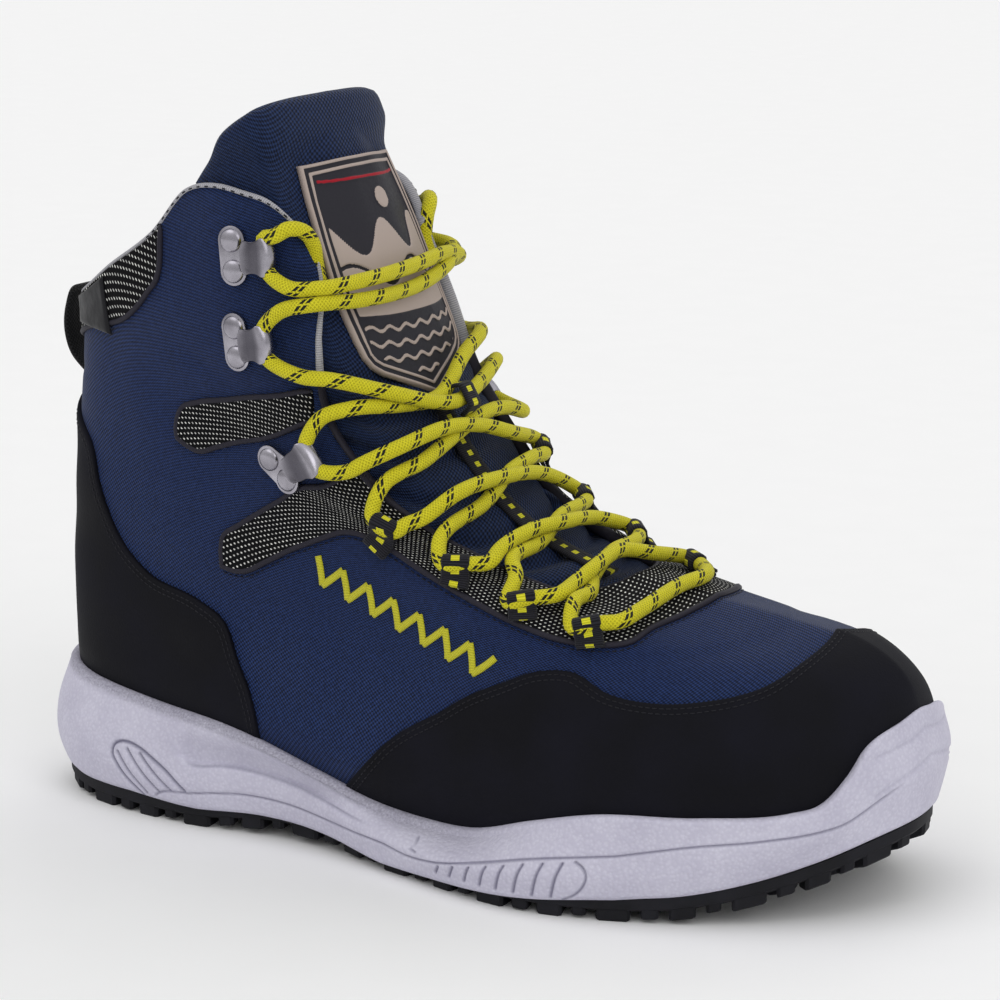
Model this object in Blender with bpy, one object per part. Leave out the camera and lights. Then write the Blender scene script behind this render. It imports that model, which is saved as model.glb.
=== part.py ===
import math
import bpy
import bmesh
import numpy as np

# Wading boot for the right foot: lateral side on -Y, toe on +X, floor at Z = 0. Millimetres until make().
for old in list(bpy.data.objects):
    bpy.data.objects.remove(old, do_unlink=True)

LENGTH = 312.0      # sole, heel to toe
HEIGHT = 234.0      # floor to the top row of the last
BALL = 106.0        # last across the ball, the measure of all widths
WALL = 2.2          # upper wall
GAP = 0.3           # between neighbouring pieces
OVERLAY = 1.1       # toe cap, counter and eyestay
LACE_D = 4.8        # lace
WEB = 1.1           # one ply of webbing
LOOP_WIDE = 8.6     # webbing of the lace loops
LUG = 4.5           # lug height
PLATE = 3.0         # outsole web over the lugs
LUG_LONG = 12.2     # lug along the foot
LUG_GAP = 4.0       # groove between lugs
TOE_SPRING = 23.0   # lug tips over the floor at the toe
GROOVE = 0.9        # depth of the parting groove and the ribs
RIM = 4.6           # midsole rim over the last
FOOTBED = 3.2       # insole board
PAD = 5.0           # extra thickness of the tongue in its middle
BADGE = 2.2         # badge patch
RIVET_D = 6.6       # rivets of the hooks
HOOK_WIDE = 9.0     # fold of the hooks
HOOK_PLATE = 1.2    # sheet of the hooks
PULL_WIDE = 15.0    # pull loop
FLAT = 1.2          # degrees under which facets of a cut piece are joined

# Last: each row is one loop round the boot, tilted from heel to front.
# Shares of LENGTH: back and front. Shares of HEIGHT: z at the stations Z_AT.
# Shares of BALL: half widths at the stations WIDE_AT, lateral and then medial.
LAST = [
    ("feather", .0353, .9519, .1368, .1226, .0705, .0598, .0885, .1215,
     .189, .311, .406, .453, .264, .179, .292, .292, .396, .302),
    ("wall", .0288, .9728, .1923, .1795, .1325, .1218, .141, .1667,
     .208, .358, .467, .509, .302, .198, .33, .349, .443, .358),
    ("side", .0272, .9744, .2479, .235, .1923, .1795, .2009, .2308,
     .208, .358, .453, .519, .311, .198, .34, .368, .453, .368),
    ("box", .0272, .9583, .2991, .2863, .2436, .2265, .2564, .297,
     .208, .358, .434, .5, .321, .198, .34, .377, .443, .358),
    ("vamp", .0288, .9135, .3504, .3376, .2991, .2735, .3077, .3376,
     .208, .349, .415, .472, .311, .198, .34, .377, .425, .33),
    ("ball", .0321, .8429, .4017, .3932, .3547, .3248, .3376, .359,
     .198, .349, .406, .415, .283, .198, .34, .377, .377, .283),
    ("waist", .0353, .766, .4487, .4402, .406, .3675, .359, .3739,
     .198, .34, .396, .396, .255, .198, .33, .377, .368, .274),
    ("throat", .0385, .6891, .4957, .4872, .453, .406, .3782, .3868,
     .189, .33, .387, .377, .226, .189, .321, .368, .358, .292),
    ("instep", .0417, .6186, .5427, .5342, .5, .4402, .4124, .4145,
     .189, .321, .377, .377, .255, .189, .311, .358, .358, .311),
    ("bend", .0449, .5545, .5897, .5812, .5513, .4786, .453, .4551,
     .179, .311, .368, .387, .264, .179, .302, .349, .368, .33),
    ("low", .0481, .5, .6368, .6282, .6026, .5556, .5342, .5256,
     .17, .302, .368, .387, .292, .17, .292, .349, .377, .33),
    ("ankle", .0513, .4583, .6838, .6752, .6538, .6282, .6154, .6111,
     .17, .302, .368, .387, .311, .17, .292, .358, .377, .33),
    ("shin", .0545, .4231, .735, .7308, .7222, .7179, .7137, .7137,
     .179, .311, .377, .387, .321, .179, .302, .368, .387, .33),
    ("cuff", .0577, .391, .8034, .8034, .8077, .812, .8162, .8162,
     .179, .311, .377, .387, .321, .179, .302, .368, .377, .321),
    ("collar", .0609, .359, .8846, .8889, .9017, .9103, .9145, .9145,
     .179, .311, .377, .387, .311, .179, .302, .368, .368, .302),
    ("top", .0641, .3333, .9744, .9829, .9957, 1, 1, 1,
     .179, .311, .377, .377, .302, .179, .302, .358, .349, .283),
]
Z_AT = (0, .3, .5, .7, .86, 1)
WIDE_AT = (0, .12, .3, .5, .7, .86, 1)
# Centre line: share of LENGTH, share of BALL
CENTRE_X = (0, .32, .64, .99, 1.06)
CENTRE_Y = (0, 0, .019, .057, .066)

# Throat edge of the quarters: row, tau lateral, tau medial
THROAT = [
    (7.16, .846, .880), (7.85, .826, .877), (8.6, .814, .872), (9.3, .772, .860), (10.06, .738, .835),
    (10.9, .745, .820), (11.7, .792, .836), (12.4, .852, .865), (13.0, .868, .876),
]
# Collar edge: tau, row
COLLAR = [
    (0, 11.45), (.1, 11.5), (.2, 11.85), (.32, 12.47), (.45, 13.05), (.573, 13.69), (.649, 13.74),
    (.711, 13.65), (.822, 13.35), (.868, 13.0), (.88, 12.95),
]
# Midsole rim: tau, row
RIM_LINE = [
    (0, 1.0), (.08, .92), (.19, .75), (.27, .68), (.38, .74), (.44, .48), (.48, .26), (.52, .2),
    (.56, .3), (.61, .85), (.66, 1.25), (.74, 1.34), (.82, 1.3), (.85, 1.38), (.88, 1.85), (.905, 2.3),
    (.96, 2.38), (1, 2.4),
]
# Sole outlines: shares of LENGTH for back and front, of BALL for the half widths, lateral and then medial
SOLE_AT = (0, .12, .3, .42, .5, .6, .7, .86, 1)
SOLE = [
    ("tread", .0096, .984, .245, .396, .396, .5, .613, .538, .274,
     .226, .363, .321, .349, .434, .472, .358),
    ("low", .0016, .9952, .259, .41, .41, .519, .627, .557, .292,
     .236, .377, .34, .368, .453, .491, .387),
    ("mid", .0032, 1, .259, .401, .41, .514, .604, .557, .321,
     .236, .373, .358, .377, .462, .495, .406),
]
# Lug tips over the floor: share of LENGTH, share of TOE_SPRING
SPRING = [
    (0, .261), (.0256, .152), (.0641, .035), (.1282, 0), (.2404, 0), (.3205, .104), (.4006, .096), (.4808, 0),
    (.7532, 0), (.8141, .078), (.8718, .261), (.9295, .543), (.9712, .804), (1.0096, 1),
]
# Parting groove: tau, share of the height from the bottom edge of the midsole to its rim
PARTING = [
    (0, .12), (.25, .12), (.33, .16), (.45, .28), (.53, .4), (.63, .52), (.75, .62), (.83, .58), (.88, .46), (1, .5),
]
# Slanted ribs under the groove: share of LENGTH of the first and last, number of ridges
HEEL_RIBS = (.125, .210, 4)
FORE_RIBS = (.535, .685, 8)
# Toe cap edge and heel counter edge: tau, row
CAP = [
    (.457, .5), (.475, 1.2), (.493, 1.84), (.53, 2.75), (.565, 3.47), (.61, 4.1), (.644, 4.46), (.687, 4.64),
    (.709, 4.24), (.739, 4.06), (.782, 3.97), (.845, 3.98), (.911, 4.2), (1, 4.4),
]
COUNTER = [
    (0, 8.6), (.06, 8.5), (.12, 8.1), (.185, 7.4), (.202, 6.29), (.229, 4.9), (.27, 4.1), (.329, 3.8), (.352, 3.48),
    (.361, 2.51), (.372, 1.7), (.377, 1.26), (.379, 1.0),
]
RIM_STEP = .13      # rows between the midsole rim and the foot of an overlay
# Eyestay panel: tau and row on its outer edge, then on its inner edge
EYESTAY = [
    (.372, 5.15, .380, 5.75), (.395, 4.98, .430, 6.45), (.467, 6.01, .50, 7.4), (.542, 6.92, .563, 8.33),
    (.587, 7.40, .665, 9.25), (.626, 7.32, .76, 9.9), (.64, 6.74, .80, 9.2), (.667, 6.06, .85, 8.3),
    (.688, 5.67, .87, 7.5), (.713, 5.39, .88, 7.0), (.741, 5.33, .89, 6.95), (.79, 5.42, .91, 6.95),
    (.848, 5.8, .93, 6.95), (.92, 6.0, .965, 6.95), (1, 6.03, 1, 6.95),
]
# Tongue: share of its length from the front, tau of its side edge, lateral and medial
TONGUE_SIDE = [
    (0, .88, .90), (.08, .80, .84), (.18, .745, .80), (.3, .70, .77), (.42, .665, .74), (.55, .64, .71), (.68, .62, .68),
    (.8, .60, .64), (.9, .575, .60), (1, .566, .58),
]
TONGUE_FRONT = 6.5  # row of its front end
# Tongue top edge: share from its middle to its side, row
TONGUE_TOP = [(0, 14.95), (.2, 14.92), (.45, 14.75), (.7, 14.45), (.85, 14.1), (.94, 13.9), (1, 13.75)]
# Badge: row, half width as loop parameter
BADGE_EDGE = [
    (10.99, .004), (11.2, .05), (11.36, .092), (11.55, .112), (12.0, .117), (12.5, .116), (13.0, .113), (13.5, .109),
    (13.96, .103),
]
# Webbing loops: name, fold as loop parameter and row, tail end as loop parameter and row
LOOPS = [
    ("loop_lateral_1", .698, 8.50, .612, 7.28), ("loop_lateral_2", .703, 7.16, .66, 6.42),
    ("loop_lateral_3", .723, 6.24, .70, 5.8), ("loop_lateral_4", .760, 5.66, .745, 5.28),
    ("loop_medial_1", 1.140, 9.60, 1.172, 9.28), ("loop_medial_2", 1.14, 8.62, 1.185, 8.15),
    ("loop_medial_3", 1.125, 7.63, 1.165, 7.15), ("loop_medial_4", 1.115, 6.62, 1.15, 6.25),
]
# Hooks: name, two rivets and the lace seat, each as loop parameter and row
HOOKS = [
    ("hook_lateral_top", (.658, 13.05), (.644, 12.63), (.738, 12.85)),
    ("hook_lateral_middle", (.607, 11.80), (.594, 11.31), (.672, 11.66)),
    ("hook_lateral_lock", (.556, 9.02), (.563, 8.59), (.678, 9.82)),
    ("hook_medial_top", (1.342, 13.05), (1.356, 12.63), (1.262, 12.85)),
    ("hook_medial_middle", (1.393, 11.80), (1.406, 11.31), (1.328, 11.66)),
    ("hook_medial_lock", (1.37, 9.62), (1.363, 9.19), (1.235, 10.42)),
]
# Lace: node, first seat and its side (1 is toward the collar), places on the last, second seat and side.
# Each place is loop parameter, row, height as a share of LACE_D
STRANDS = [
    ("lace_bar", "loop_lateral_4", -1, [(.856, 6.06, 1.0), (.93, 6.30, .95), (1.0, 6.40, .95), (1.05, 6.36, 1.0)],
     "loop_medial_4", -1),
    ("lace_cross_1", "loop_lateral_4", 1, [(.80, 6.52, 1.25), (.845, 6.80, 1.15), (.922, 7.28, .8), (1.013, 7.55, .85), (1.05, 7.45, .95)],
     "loop_medial_3", -1),
    ("lace_cross_1", "loop_lateral_3", -1, [(.77, 6.36, 1.15), (.835, 6.86, 1.25), (.911, 7.34, 1.2), (.997, 7.40, 1.1), (1.04, 7.15, 1.05)],
     "loop_medial_4", 1),
    ("lace_cross_2", "loop_lateral_3", 1, [(.80, 7.35, 1.1), (.85, 7.86, .95), (.938, 8.36, .8), (1.055, 8.52, .9)],
     "loop_medial_2", -1),
    ("lace_cross_2", "loop_lateral_2", -1, [(.79, 7.50, 1.1), (.85, 7.98, 1.05), (.921, 8.38, 1.2), (1.04, 8.22, 1.0)],
     "loop_medial_3", 1),
    ("lace_cross_3", "loop_lateral_2", 1, [(.77, 8.3, 1.1), (.82, 8.83, .95), (.928, 9.34, .8), (1.05, 9.50, .9)],
     "loop_medial_1", -1),
    ("lace_cross_3", "loop_lateral_1", -1, [(.765, 8.62, 1.1), (.82, 9.02, 1.05), (.90, 9.40, 1.2), (1.05, 9.30, 1.0)],
     "loop_medial_2", 1),
    ("lace_cross_4", "loop_lateral_1", 1, [(.775, 9.55, 1.0), (.883, 10.10, .8), (.99, 10.42, .85), (1.08, 10.28, 1.0),
                                           (1.15, 10.02, 1.15)], "hook_medial_lock", -1),
    ("lace_cross_4", "hook_lateral_lock", -1, [(.745, 9.72, 1.15), (.80, 9.98, 1.1), (.880, 10.22, 1.2), (.99, 10.33, 1.15),
                                               (1.06, 10.12, 1.1)], "loop_medial_1", 1),
    ("lace_cross_5", "hook_lateral_lock", 1, [(.760, 10.66, 1.1), (.867, 10.90, .85), (.965, 10.87, .9), (1.08, 11.12, 1.1),
                                              (1.18, 11.28, 1.2), (1.25, 11.30, 1.2)], "hook_medial_middle", -1),
    ("lace_cross_5", "hook_lateral_middle", -1, [(.74, 11.22, 1.15), (.80, 11.22, 1.15), (.882, 11.02, 1.15),
                                                 (.965, 10.82, 1.2), (1.06, 10.82, 1.1), (1.15, 10.85, 1.2)],
     "hook_medial_lock", 1),
    ("lace_cross_6", "hook_lateral_middle", 1, [(.75, 12.12, 1.2), (.83, 12.22, 1.35), (.90, 12.22, 1.4), (1.05, 12.30, 1.4),
                                                (1.15, 12.44, 1.35), (1.21, 12.48, 1.25)], "hook_medial_top", -1),
    ("lace_cross_6", "hook_lateral_top", -1, [(.79, 12.48, 1.25), (.85, 12.42, 1.4), (.93, 12.40, 1.55), (1.08, 12.40, 1.55),
                                              (1.18, 12.24, 1.35), (1.25, 12.14, 1.25)], "hook_medial_middle", 1),
]
ENDS = [
    ("lace_end_lateral", "hook_lateral_top", [(.803, 13.27, 1.0), (.839, 13.28, .97), (.868, 13.2, .95)]),
    ("lace_end_medial", "hook_medial_top", [(1.197, 13.27, 1.0), (1.161, 13.28, .97), (1.132, 13.2, .95)]),
]
# Pull loop: row, distance behind the last as a share of PULL_WIDE
PULL = [(11.25, .05), (11.48, .27), (11.42, .52), (10.9, .68), (10.1, .68), (9.5, .49), (9.15, .22), (8.95, .02)]
# Side label: taus, lower row
LABEL_TAU = (.15, .20, .25, .31)
LABEL_ROW = 10.75

NAVY = (.014, .027, .085)
BLACK = (.012, .012, .017)
GREY = (.58, .56, .66)
RUBBER = (.02, .02, .024)
STEEL = (.5, .5, .52)
YELLOW = (.76, .69, .03)


def hermite(xs, ys, x):
    """smooth curve through a table"""
    xs = np.asarray(xs, float)
    ys = np.asarray(ys, float)
    slope = np.gradient(ys, xs, axis=-1)
    x = np.asarray(x, float)
    i = np.clip(np.searchsorted(xs, x) - 1, 0, len(xs) - 2)
    span = xs[i + 1] - xs[i]
    u = (x - xs[i]) / span

    def pick(values, k):
        if values.ndim == 1:
            return values[k]
        return np.take_along_axis(values, k[..., None], -1)[..., 0]

    first = (1 + 2 * u) * (1 - u) ** 2 * pick(ys, i) + u * (1 - u) ** 2 * span * pick(slope, i)
    return first + u * u * (3 - 2 * u) * pick(ys, i + 1) + u * u * (u - 1) * span * pick(slope, i + 1)


def line(table, x, column=1):
    return np.interp(x, [row[0] for row in table], [row[column] for row in table])


def centre(x):
    return hermite(np.array(CENTRE_X) * LENGTH, np.array(CENTRE_Y) * BALL, x)


SCALE = np.array([LENGTH] * 2 + [HEIGHT] * 6 + [BALL] * 10)
ROWS = np.array([row[1:] for row in LAST], float) * SCALE
ROW_NO = np.arange(len(LAST))


def last_side(tau, row, side):
    back = hermite(ROW_NO, ROWS[:, 0], row)
    front = hermite(ROW_NO, ROWS[:, 1], row)
    z_table = np.stack([hermite(ROW_NO, ROWS[:, 2 + k], row) for k in range(6)], -1)
    first = 8 if side < 0 else 13
    zero = np.zeros_like(row)
    wide = np.stack([zero] + [hermite(ROW_NO, ROWS[:, first + k], row) for k in range(5)] + [zero], -1)
    x = back + (front - back) * (1 - np.cos(np.pi * tau)) / 2
    return np.stack([x, side * hermite(WIDE_AT, wide, tau) + centre(x), hermite(Z_AT, z_table, tau)], -1)


def last(th, row):
    """th 0 to 1 runs along the lateral side from heel to toe, 1 to 2 back along the medial side"""
    th, row = np.broadcast_arrays(np.asarray(th, float) % 2, np.asarray(row, float))
    tau = np.where(th <= 1, th, 2 - th)
    return np.where((th <= 1)[..., None], last_side(tau, row, -1), last_side(tau, row, 1))


def normal(th, row):
    th, row = np.broadcast_arrays(np.asarray(th, float), np.asarray(row, float))
    along = last(th + .012, row) - last(th - .012, row)
    up = last(th, np.clip(row + .08, 0, ROW_NO[-1])) - last(th, np.clip(row - .08, 0, ROW_NO[-1]))
    n = np.cross(along, up)
    return n / np.linalg.norm(n, axis=-1, keepdims=True)


def skin(th, row, height):
    """point at a height over the last"""
    height = np.asarray(height, float)
    return last(th, row) + normal(th, row) * height[..., None]


def sole_edge(k, tau, side):
    row = SOLE[k]
    first = 3 if side < 0 else 10
    half = hermite(SOLE_AT, np.array((0,) + row[first:first + 7] + (0,)) * BALL, tau)
    x = LENGTH * (row[1] + (row[2] - row[1]) * (1 - np.cos(np.pi * tau)) / 2)
    return x, side * half + centre(x)


def ground(x):
    xs = [row[0] * LENGTH for row in SPRING]
    return np.maximum(hermite(xs, [row[1] * TOE_SPRING for row in SPRING], x), 0.0)


def make(name, verts, faces, colour=GREY, rough=.7, metal=0.0):
    """closed body with its own material"""
    mesh = bpy.data.meshes.new(name)
    mesh.from_pydata([tuple(float(c) * .001 for c in v) for v in verts], [], faces)
    clean(mesh)
    obj = bpy.data.objects.new(name, mesh)
    bpy.context.scene.collection.objects.link(obj)
    mat = bpy.data.materials.new(name + "_material")
    mat.use_nodes = True
    shader = mat.node_tree.nodes["Principled BSDF"]
    shader.inputs["Base Color"].default_value = (*colour, 1)
    shader.inputs["Roughness"].default_value = rough
    shader.inputs["Metallic"].default_value = metal
    mesh.materials.append(mat)
    return obj


def clean(mesh):
    bm = bmesh.new()
    bm.from_mesh(mesh)
    bmesh.ops.remove_doubles(bm, verts=bm.verts, dist=5e-6)
    bmesh.ops.dissolve_degenerate(bm, edges=bm.edges, dist=5e-6)
    bmesh.ops.recalc_face_normals(bm, faces=bm.faces)
    bmesh.ops.triangulate(bm, faces=bm.faces)
    if bm.calc_volume(signed=True) < 0:
        bmesh.ops.reverse_faces(bm, faces=bm.faces)
    bm.to_mesh(mesh)
    bm.free()


def combine(base, tool, operation):
    """boolean with the result baked into the base"""
    mod = base.modifiers.new("combine", "BOOLEAN")
    mod.operation = operation
    mod.solver = "EXACT"
    mod.object = tool
    depsgraph = bpy.context.evaluated_depsgraph_get()
    baked = bpy.data.meshes.new_from_object(base.evaluated_get(depsgraph))
    base.modifiers.clear()
    keep = base.data.materials[0]
    base.data = baked
    baked.materials.clear()
    baked.materials.append(keep)
    bpy.data.objects.remove(tool, do_unlink=True)
    bm = bmesh.new()
    bm.from_mesh(baked)
    bmesh.ops.remove_doubles(bm, verts=bm.verts, dist=5e-6)
    bmesh.ops.dissolve_limit(bm, angle_limit=math.radians(FLAT), verts=bm.verts, edges=bm.edges)
    bm.to_mesh(baked)
    bm.free()
    clean(baked)
    return base


class Patch:
    """a patch of the last; its free edges are found and closed by its wall"""

    def __init__(self):
        self.keys = {}
        self.corners = []
        self.cells = []

    def corner(self, th, row):
        key = (round(float(th) % 2.0, 5) % 2.0, round(float(row), 5))
        if key not in self.keys:
            self.keys[key] = len(self.corners)
            self.corners.append(key)
        return self.keys[key]

    def grid(self, th, row):
        for i in range(len(th) - 1):
            for j in range(len(th[0]) - 1):
                a, b, c, d = [self.corner(th[m][n], row[m][n]) for m, n in ((i, j), (i, j + 1), (i + 1, j + 1), (i + 1, j))]
                for cell in ((a, b, c), (a, c, d)):
                    if len(set(cell)) == 3:
                        self.cells.append(cell)

    def mirrored_grid(self, tau, row, side):
        """a grid given from the heel or the side edge forward, on either side of the foot"""
        if side < 0:
            self.grid(tau, row)
        else:
            self.grid([[2 - t for t in reversed(r)] for r in tau], [list(reversed(r)) for r in row])

    def solid(self, name, outer, inner, colour=GREY, rough=.7):
        th = np.array([c[0] for c in self.corners])
        row = np.array([c[1] for c in self.corners])
        verts = np.concatenate([skin(th, row, f(th, row) * np.ones_like(th)) for f in (outer, inner)])
        n = len(th)
        used = set()
        faces = []
        for cell in self.cells:
            faces.append(list(cell))
            faces.append([v + n for v in reversed(cell)])
            for k in range(3):
                used.add((cell[k], cell[(k + 1) % 3]))
        for a, b in used:
            if (b, a) not in used:
                faces.append([b, a, a + n, b + n])
        return make(name, verts, sorted(faces), colour, rough)


def level(value):
    return lambda th, row: value


def cut(patch, name, outer, inner, outline, colour, rough=.7):
    """overlay: the wall between two forms of a patch, kept inside an outline patch"""
    body = patch.solid(name, outer, inner, colour, rough)
    deep = 4.5
    tool = outline.solid(name + "_outline", lambda th, row: outer(th, row) + deep, lambda th, row: inner(th, row) - deep)
    return combine(body, tool, "INTERSECT")


# Upper: closed loops up to the throat, then the two quarters with a free throat edge and collar edge
LATERAL_TAU = [0, .06, .14, .23, .33, .42, .5, .58, .66, .73, .79, .846]
MEDIAL_TAU = [0, .06, .14, .23, .33, .42, .5, .58, .67, .76, .83, .880]
FRONT_LATERAL = [.88, .92, .96, 1]
FRONT_MEDIAL = [.91, .94, .97, 1]
LOWER_ROWS = [0, .5, 1.0, 1.7, 2.4, 3.2, 4.0, 5.0, 6.0, THROAT[0][0]]
LOOP_TH = LATERAL_TAU + FRONT_LATERAL + [2 - t for t in reversed(FRONT_MEDIAL[:-1])] + [2 - t for t in reversed(MEDIAL_TAU)]


def throat_tau(row, side):
    return line(THROAT, row, 1 if side < 0 else 2)


def quarter(side):
    """tau and row of a quarter's grid, its top row bent onto the collar edge"""
    taus = LATERAL_TAU if side < 0 else MEDIAL_TAU
    low = THROAT[0][0]
    high = THROAT[-1][0]
    tau_grid = []
    row_grid = []
    for row in [r[0] for r in THROAT]:
        scale = throat_tau(row, side) / throat_tau(low, side)
        share = (row - low) / (high - low)
        tau_grid.append([t * scale for t in taus])
        tops = [line(COLLAR, t / taus[-1] * throat_tau(high, side)) for t in taus]
        row_grid.append([low + (top - low) * share for top in tops])
        row_grid[-1][-1] = row
    return tau_grid, row_grid


upper = Patch()
upper.grid([LOOP_TH] * len(LOWER_ROWS), [[r] * len(LOOP_TH) for r in LOWER_ROWS])
for side in (-1, 1):
    upper.mirrored_grid(*quarter(side), side)
upper.solid("upper", level(0.0), level(-WALL), NAVY, .8)


# Toe cap, heel counter and eyestay
def band(edge, parts):
    """outline from just over the midsole rim up to an edge"""
    outline = Patch()
    feet = [min(top - .01, line(RIM_LINE, t) + RIM_STEP) for t, top in edge]
    for side in (-1, 1):
        outline.mirrored_grid(
            [[t for t, top in edge]] * (parts + 1),
            [[foot + (row[1] - foot) * k / parts for foot, row in zip(feet, edge)] for k in range(parts + 1)], side)
    return outline


OUTER = level(GAP + OVERLAY)
INNER = level(GAP)
cut(upper, "toe_cap", OUTER, INNER, band(CAP, 4), BLACK)
cut(upper, "heel_counter", OUTER, INNER, band(COUNTER, 5), BLACK)

outline = Patch()
for side in (-1, 1):
    parts = 2
    outline.mirrored_grid(
        [[a + (c - a) * k / parts for a, b, c, d in EYESTAY] for k in range(parts + 1)],
        [[b + (d - b) * k / parts for a, b, c, d in EYESTAY] for k in range(parts + 1)], side)
cut(upper, "eyestay", OUTER, INNER, outline, BLACK)


# Tongue: under the quarters, level with them in the open throat, padded in its middle
def tongue_face(th, row):
    tau = np.where(th <= 1, th, 2 - th)
    edge = np.where(th <= 1, throat_tau(row, -1), throat_tau(row, 1))
    bare = np.clip((tau - edge - .03) / .08, 0, 1) * np.clip((row - 11.0) / 1.5, 0, 1)
    rise = np.maximum(bare, np.clip((row - 13.95) / .5, 0, 1))
    deep = WALL + 5 * GAP
    return -deep + deep * rise * rise * (3 - 2 * rise)


def tongue_lining(th, row):
    tau = np.where(th <= 1, th, 2 - th)
    middle = 1 - np.clip((1 - tau) / .40, 0, 1) ** 2
    ends = np.clip((row - TONGUE_FRONT) / 2.0, 0, 1) * np.clip((15.2 - row) / .8, .35, 1)
    return tongue_face(th, row) - WALL - PAD * middle * ends


TONGUE_U = [1, .92, .76, .52, .26, 0]
TONGUE_V = [0, .09, .18, .28, .38, .48, .58, .68, .77, .86, .93, 1]
tongue = Patch()
for side in (-1, 1):
    column = 1 if side < 0 else 2
    tongue.mirrored_grid(
        [[1 - (1 - line(TONGUE_SIDE, v, column)) * u for u in TONGUE_U] for v in TONGUE_V],
        [[TONGUE_FRONT + v * (line(TONGUE_TOP, u) - TONGUE_FRONT) for u in TONGUE_U] for v in TONGUE_V], side)
tongue.solid("tongue", tongue_face, tongue_lining, NAVY, .85)


def over_tongue(height):
    return lambda th, row: tongue_face(th, row) + height


outline = Patch()
outline.grid([[1 + half * s for s in (-1, -.5, 0, .5, 1)] for row, half in BADGE_EDGE], [[row] * 5 for row, half in BADGE_EDGE])
cut(tongue, "tongue_badge", over_tongue(GAP + BADGE), over_tongue(GAP), outline, (.06, .06, .07), .6)
outline = Patch()
STRIP_ROWS = [7.55, 8.2, 8.9, 9.6, 10.3, 10.85]
outline.grid([[.958, 1, 1.042]] * len(STRIP_ROWS), [[r] * 3 for r in STRIP_ROWS])
cut(tongue, "tongue_webbing", over_tongue(GAP + WEB), over_tongue(GAP), outline, BLACK, .8)


# Sole columns: plain stations, and two to each ridge of the ribs
def tau_at(share):
    row = SOLE[1]
    return math.acos(1 - 2 * (share - row[1]) / (row[2] - row[1])) / math.pi


PLAIN_TAU = [0, .05, .1, .15, .19, .34, .39, .44, .49, .68, .73, .78, .82, .85, .88, .91, .94, .97, 1]
ridges = []
for low, high, count in (HEEL_RIBS, FORE_RIBS):
    ridges += [(tau_at(s), k % 2) for k, s in enumerate(np.linspace(low, high, 2 * count + 1))]
columns = sorted([(t, 0) for t in PLAIN_TAU] + ridges)
SOLE_TAU = np.array([c[0] for c in columns])
RIB = np.array([c[1] for c in columns]) * GROOVE


def both(function):
    """one closed ring from a function of tau and side"""
    return np.concatenate([function(SOLE_TAU, -1), function(SOLE_TAU, 1)[-2:0:-1]])


def on_centre(points, tau):
    points[:, 1] = np.where((tau == 0) | (tau == 1), centre(points[:, 0]), points[:, 1])
    return points


def rim_point(tau, side, height, lift=0.0):
    points = skin(tau if side < 0 else 2 - tau, line(RIM_LINE, tau), height * np.ones_like(tau))
    points[:, 2] += lift
    return on_centre(points, tau)


def side_point(tau, side, share, inset=0.0):
    """side of the midsole, share 0 at its bottom edge and 1 at its rim"""
    x, y = sole_edge(0, tau, side)
    base = ground(x) + LUG + PLATE + GAP
    rim = rim_point(tau, side, RIM)
    high = rim[:, 2] - base
    stations = [np.stack([x, y, base], -1)]
    for k, part in ((1, .26), (2, .6)):
        x, y = sole_edge(k, tau, side)
        middle = centre(x)
        stations.append(np.stack([x, middle + (y - middle) * (1 - inset / BALL * 2), base + part * high], -1))
    stations.append(rim)
    at = (0, .26, .6, 1)
    share = np.asarray(share * np.ones_like(tau))
    out = np.empty((len(tau), 3))
    for n in range(len(tau)):
        for c in range(3):
            out[n, c] = np.interp(share[n], at, [s[n, c] for s in stations])
    inward = normal(tau if side < 0 else 2 - tau, 1.0 + 0 * tau)
    inward[:, 2] = 0
    inward = inward / np.linalg.norm(inward, axis=-1, keepdims=True)
    out -= inward * np.asarray(inset * np.ones_like(tau))[:, None]
    return on_centre(out, tau)


PART = line(PARTING, SOLE_TAU)
rings = [
    both(lambda t, s: side_point(t, s, 0)),
    both(lambda t, s: side_point(t, s, PART * .35)),
    both(lambda t, s: side_point(t, s, PART * .7, RIB)),
    both(lambda t, s: side_point(t, s, PART - .02)),
    both(lambda t, s: side_point(t, s, PART + .01, GROOVE)),
    both(lambda t, s: side_point(t, s, .5 + PART * .5, GROOVE * .6)),
    both(lambda t, s: rim_point(t, s, RIM + .2, -1.2)),
    both(lambda t, s: rim_point(t, s, RIM - .7, .1)),
    both(lambda t, s: rim_point(t, s, -WALL, .3)),
]


def loft(name, rings, count, colour=GREY, rough=.7):
    """rings of equal length, lateral side forward and medial side back, closed by strips across"""
    n = len(rings[0])
    faces = []
    for k in range(len(rings) - 1):
        for j in range(n):
            a = k * n + j
            b = k * n + (j + 1) % n
            faces += [[a, b, b + n], [a, b + n, a + n]]
    for k, flip in ((0, True), (len(rings) - 1, False)):
        for j in range(count - 1):
            a, b, c, d = [k * n + v % n for v in (j, j + 1, n - j - 1, n - j)]
            for cell in ((a, b, c), (a, c, d)):
                if len(set(cell)) == 3:
                    faces.append(list(reversed(cell)) if flip else list(cell))
    return make(name, np.concatenate(rings), faces, colour, rough)


midsole = loft("midsole", rings, len(SOLE_TAU), GREY, .7)
foot_th = np.array(LOOP_TH[:-1])
foot = [skin(foot_th, r + 0 * foot_th, GAP + 0 * foot_th) for r in LOWER_ROWS[:7]]
foot[0][:, 2] -= GAP
combine(midsole, loft("foot", foot, len(LATERAL_TAU) + len(FRONT_LATERAL)), "DIFFERENCE")
# Insole
INSOLE_TAU = np.array([0, .05, .1, .15, .2, .28, .36, .43, .5, .57, .64, .71, .78, .85, .9, .95, 1])


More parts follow.
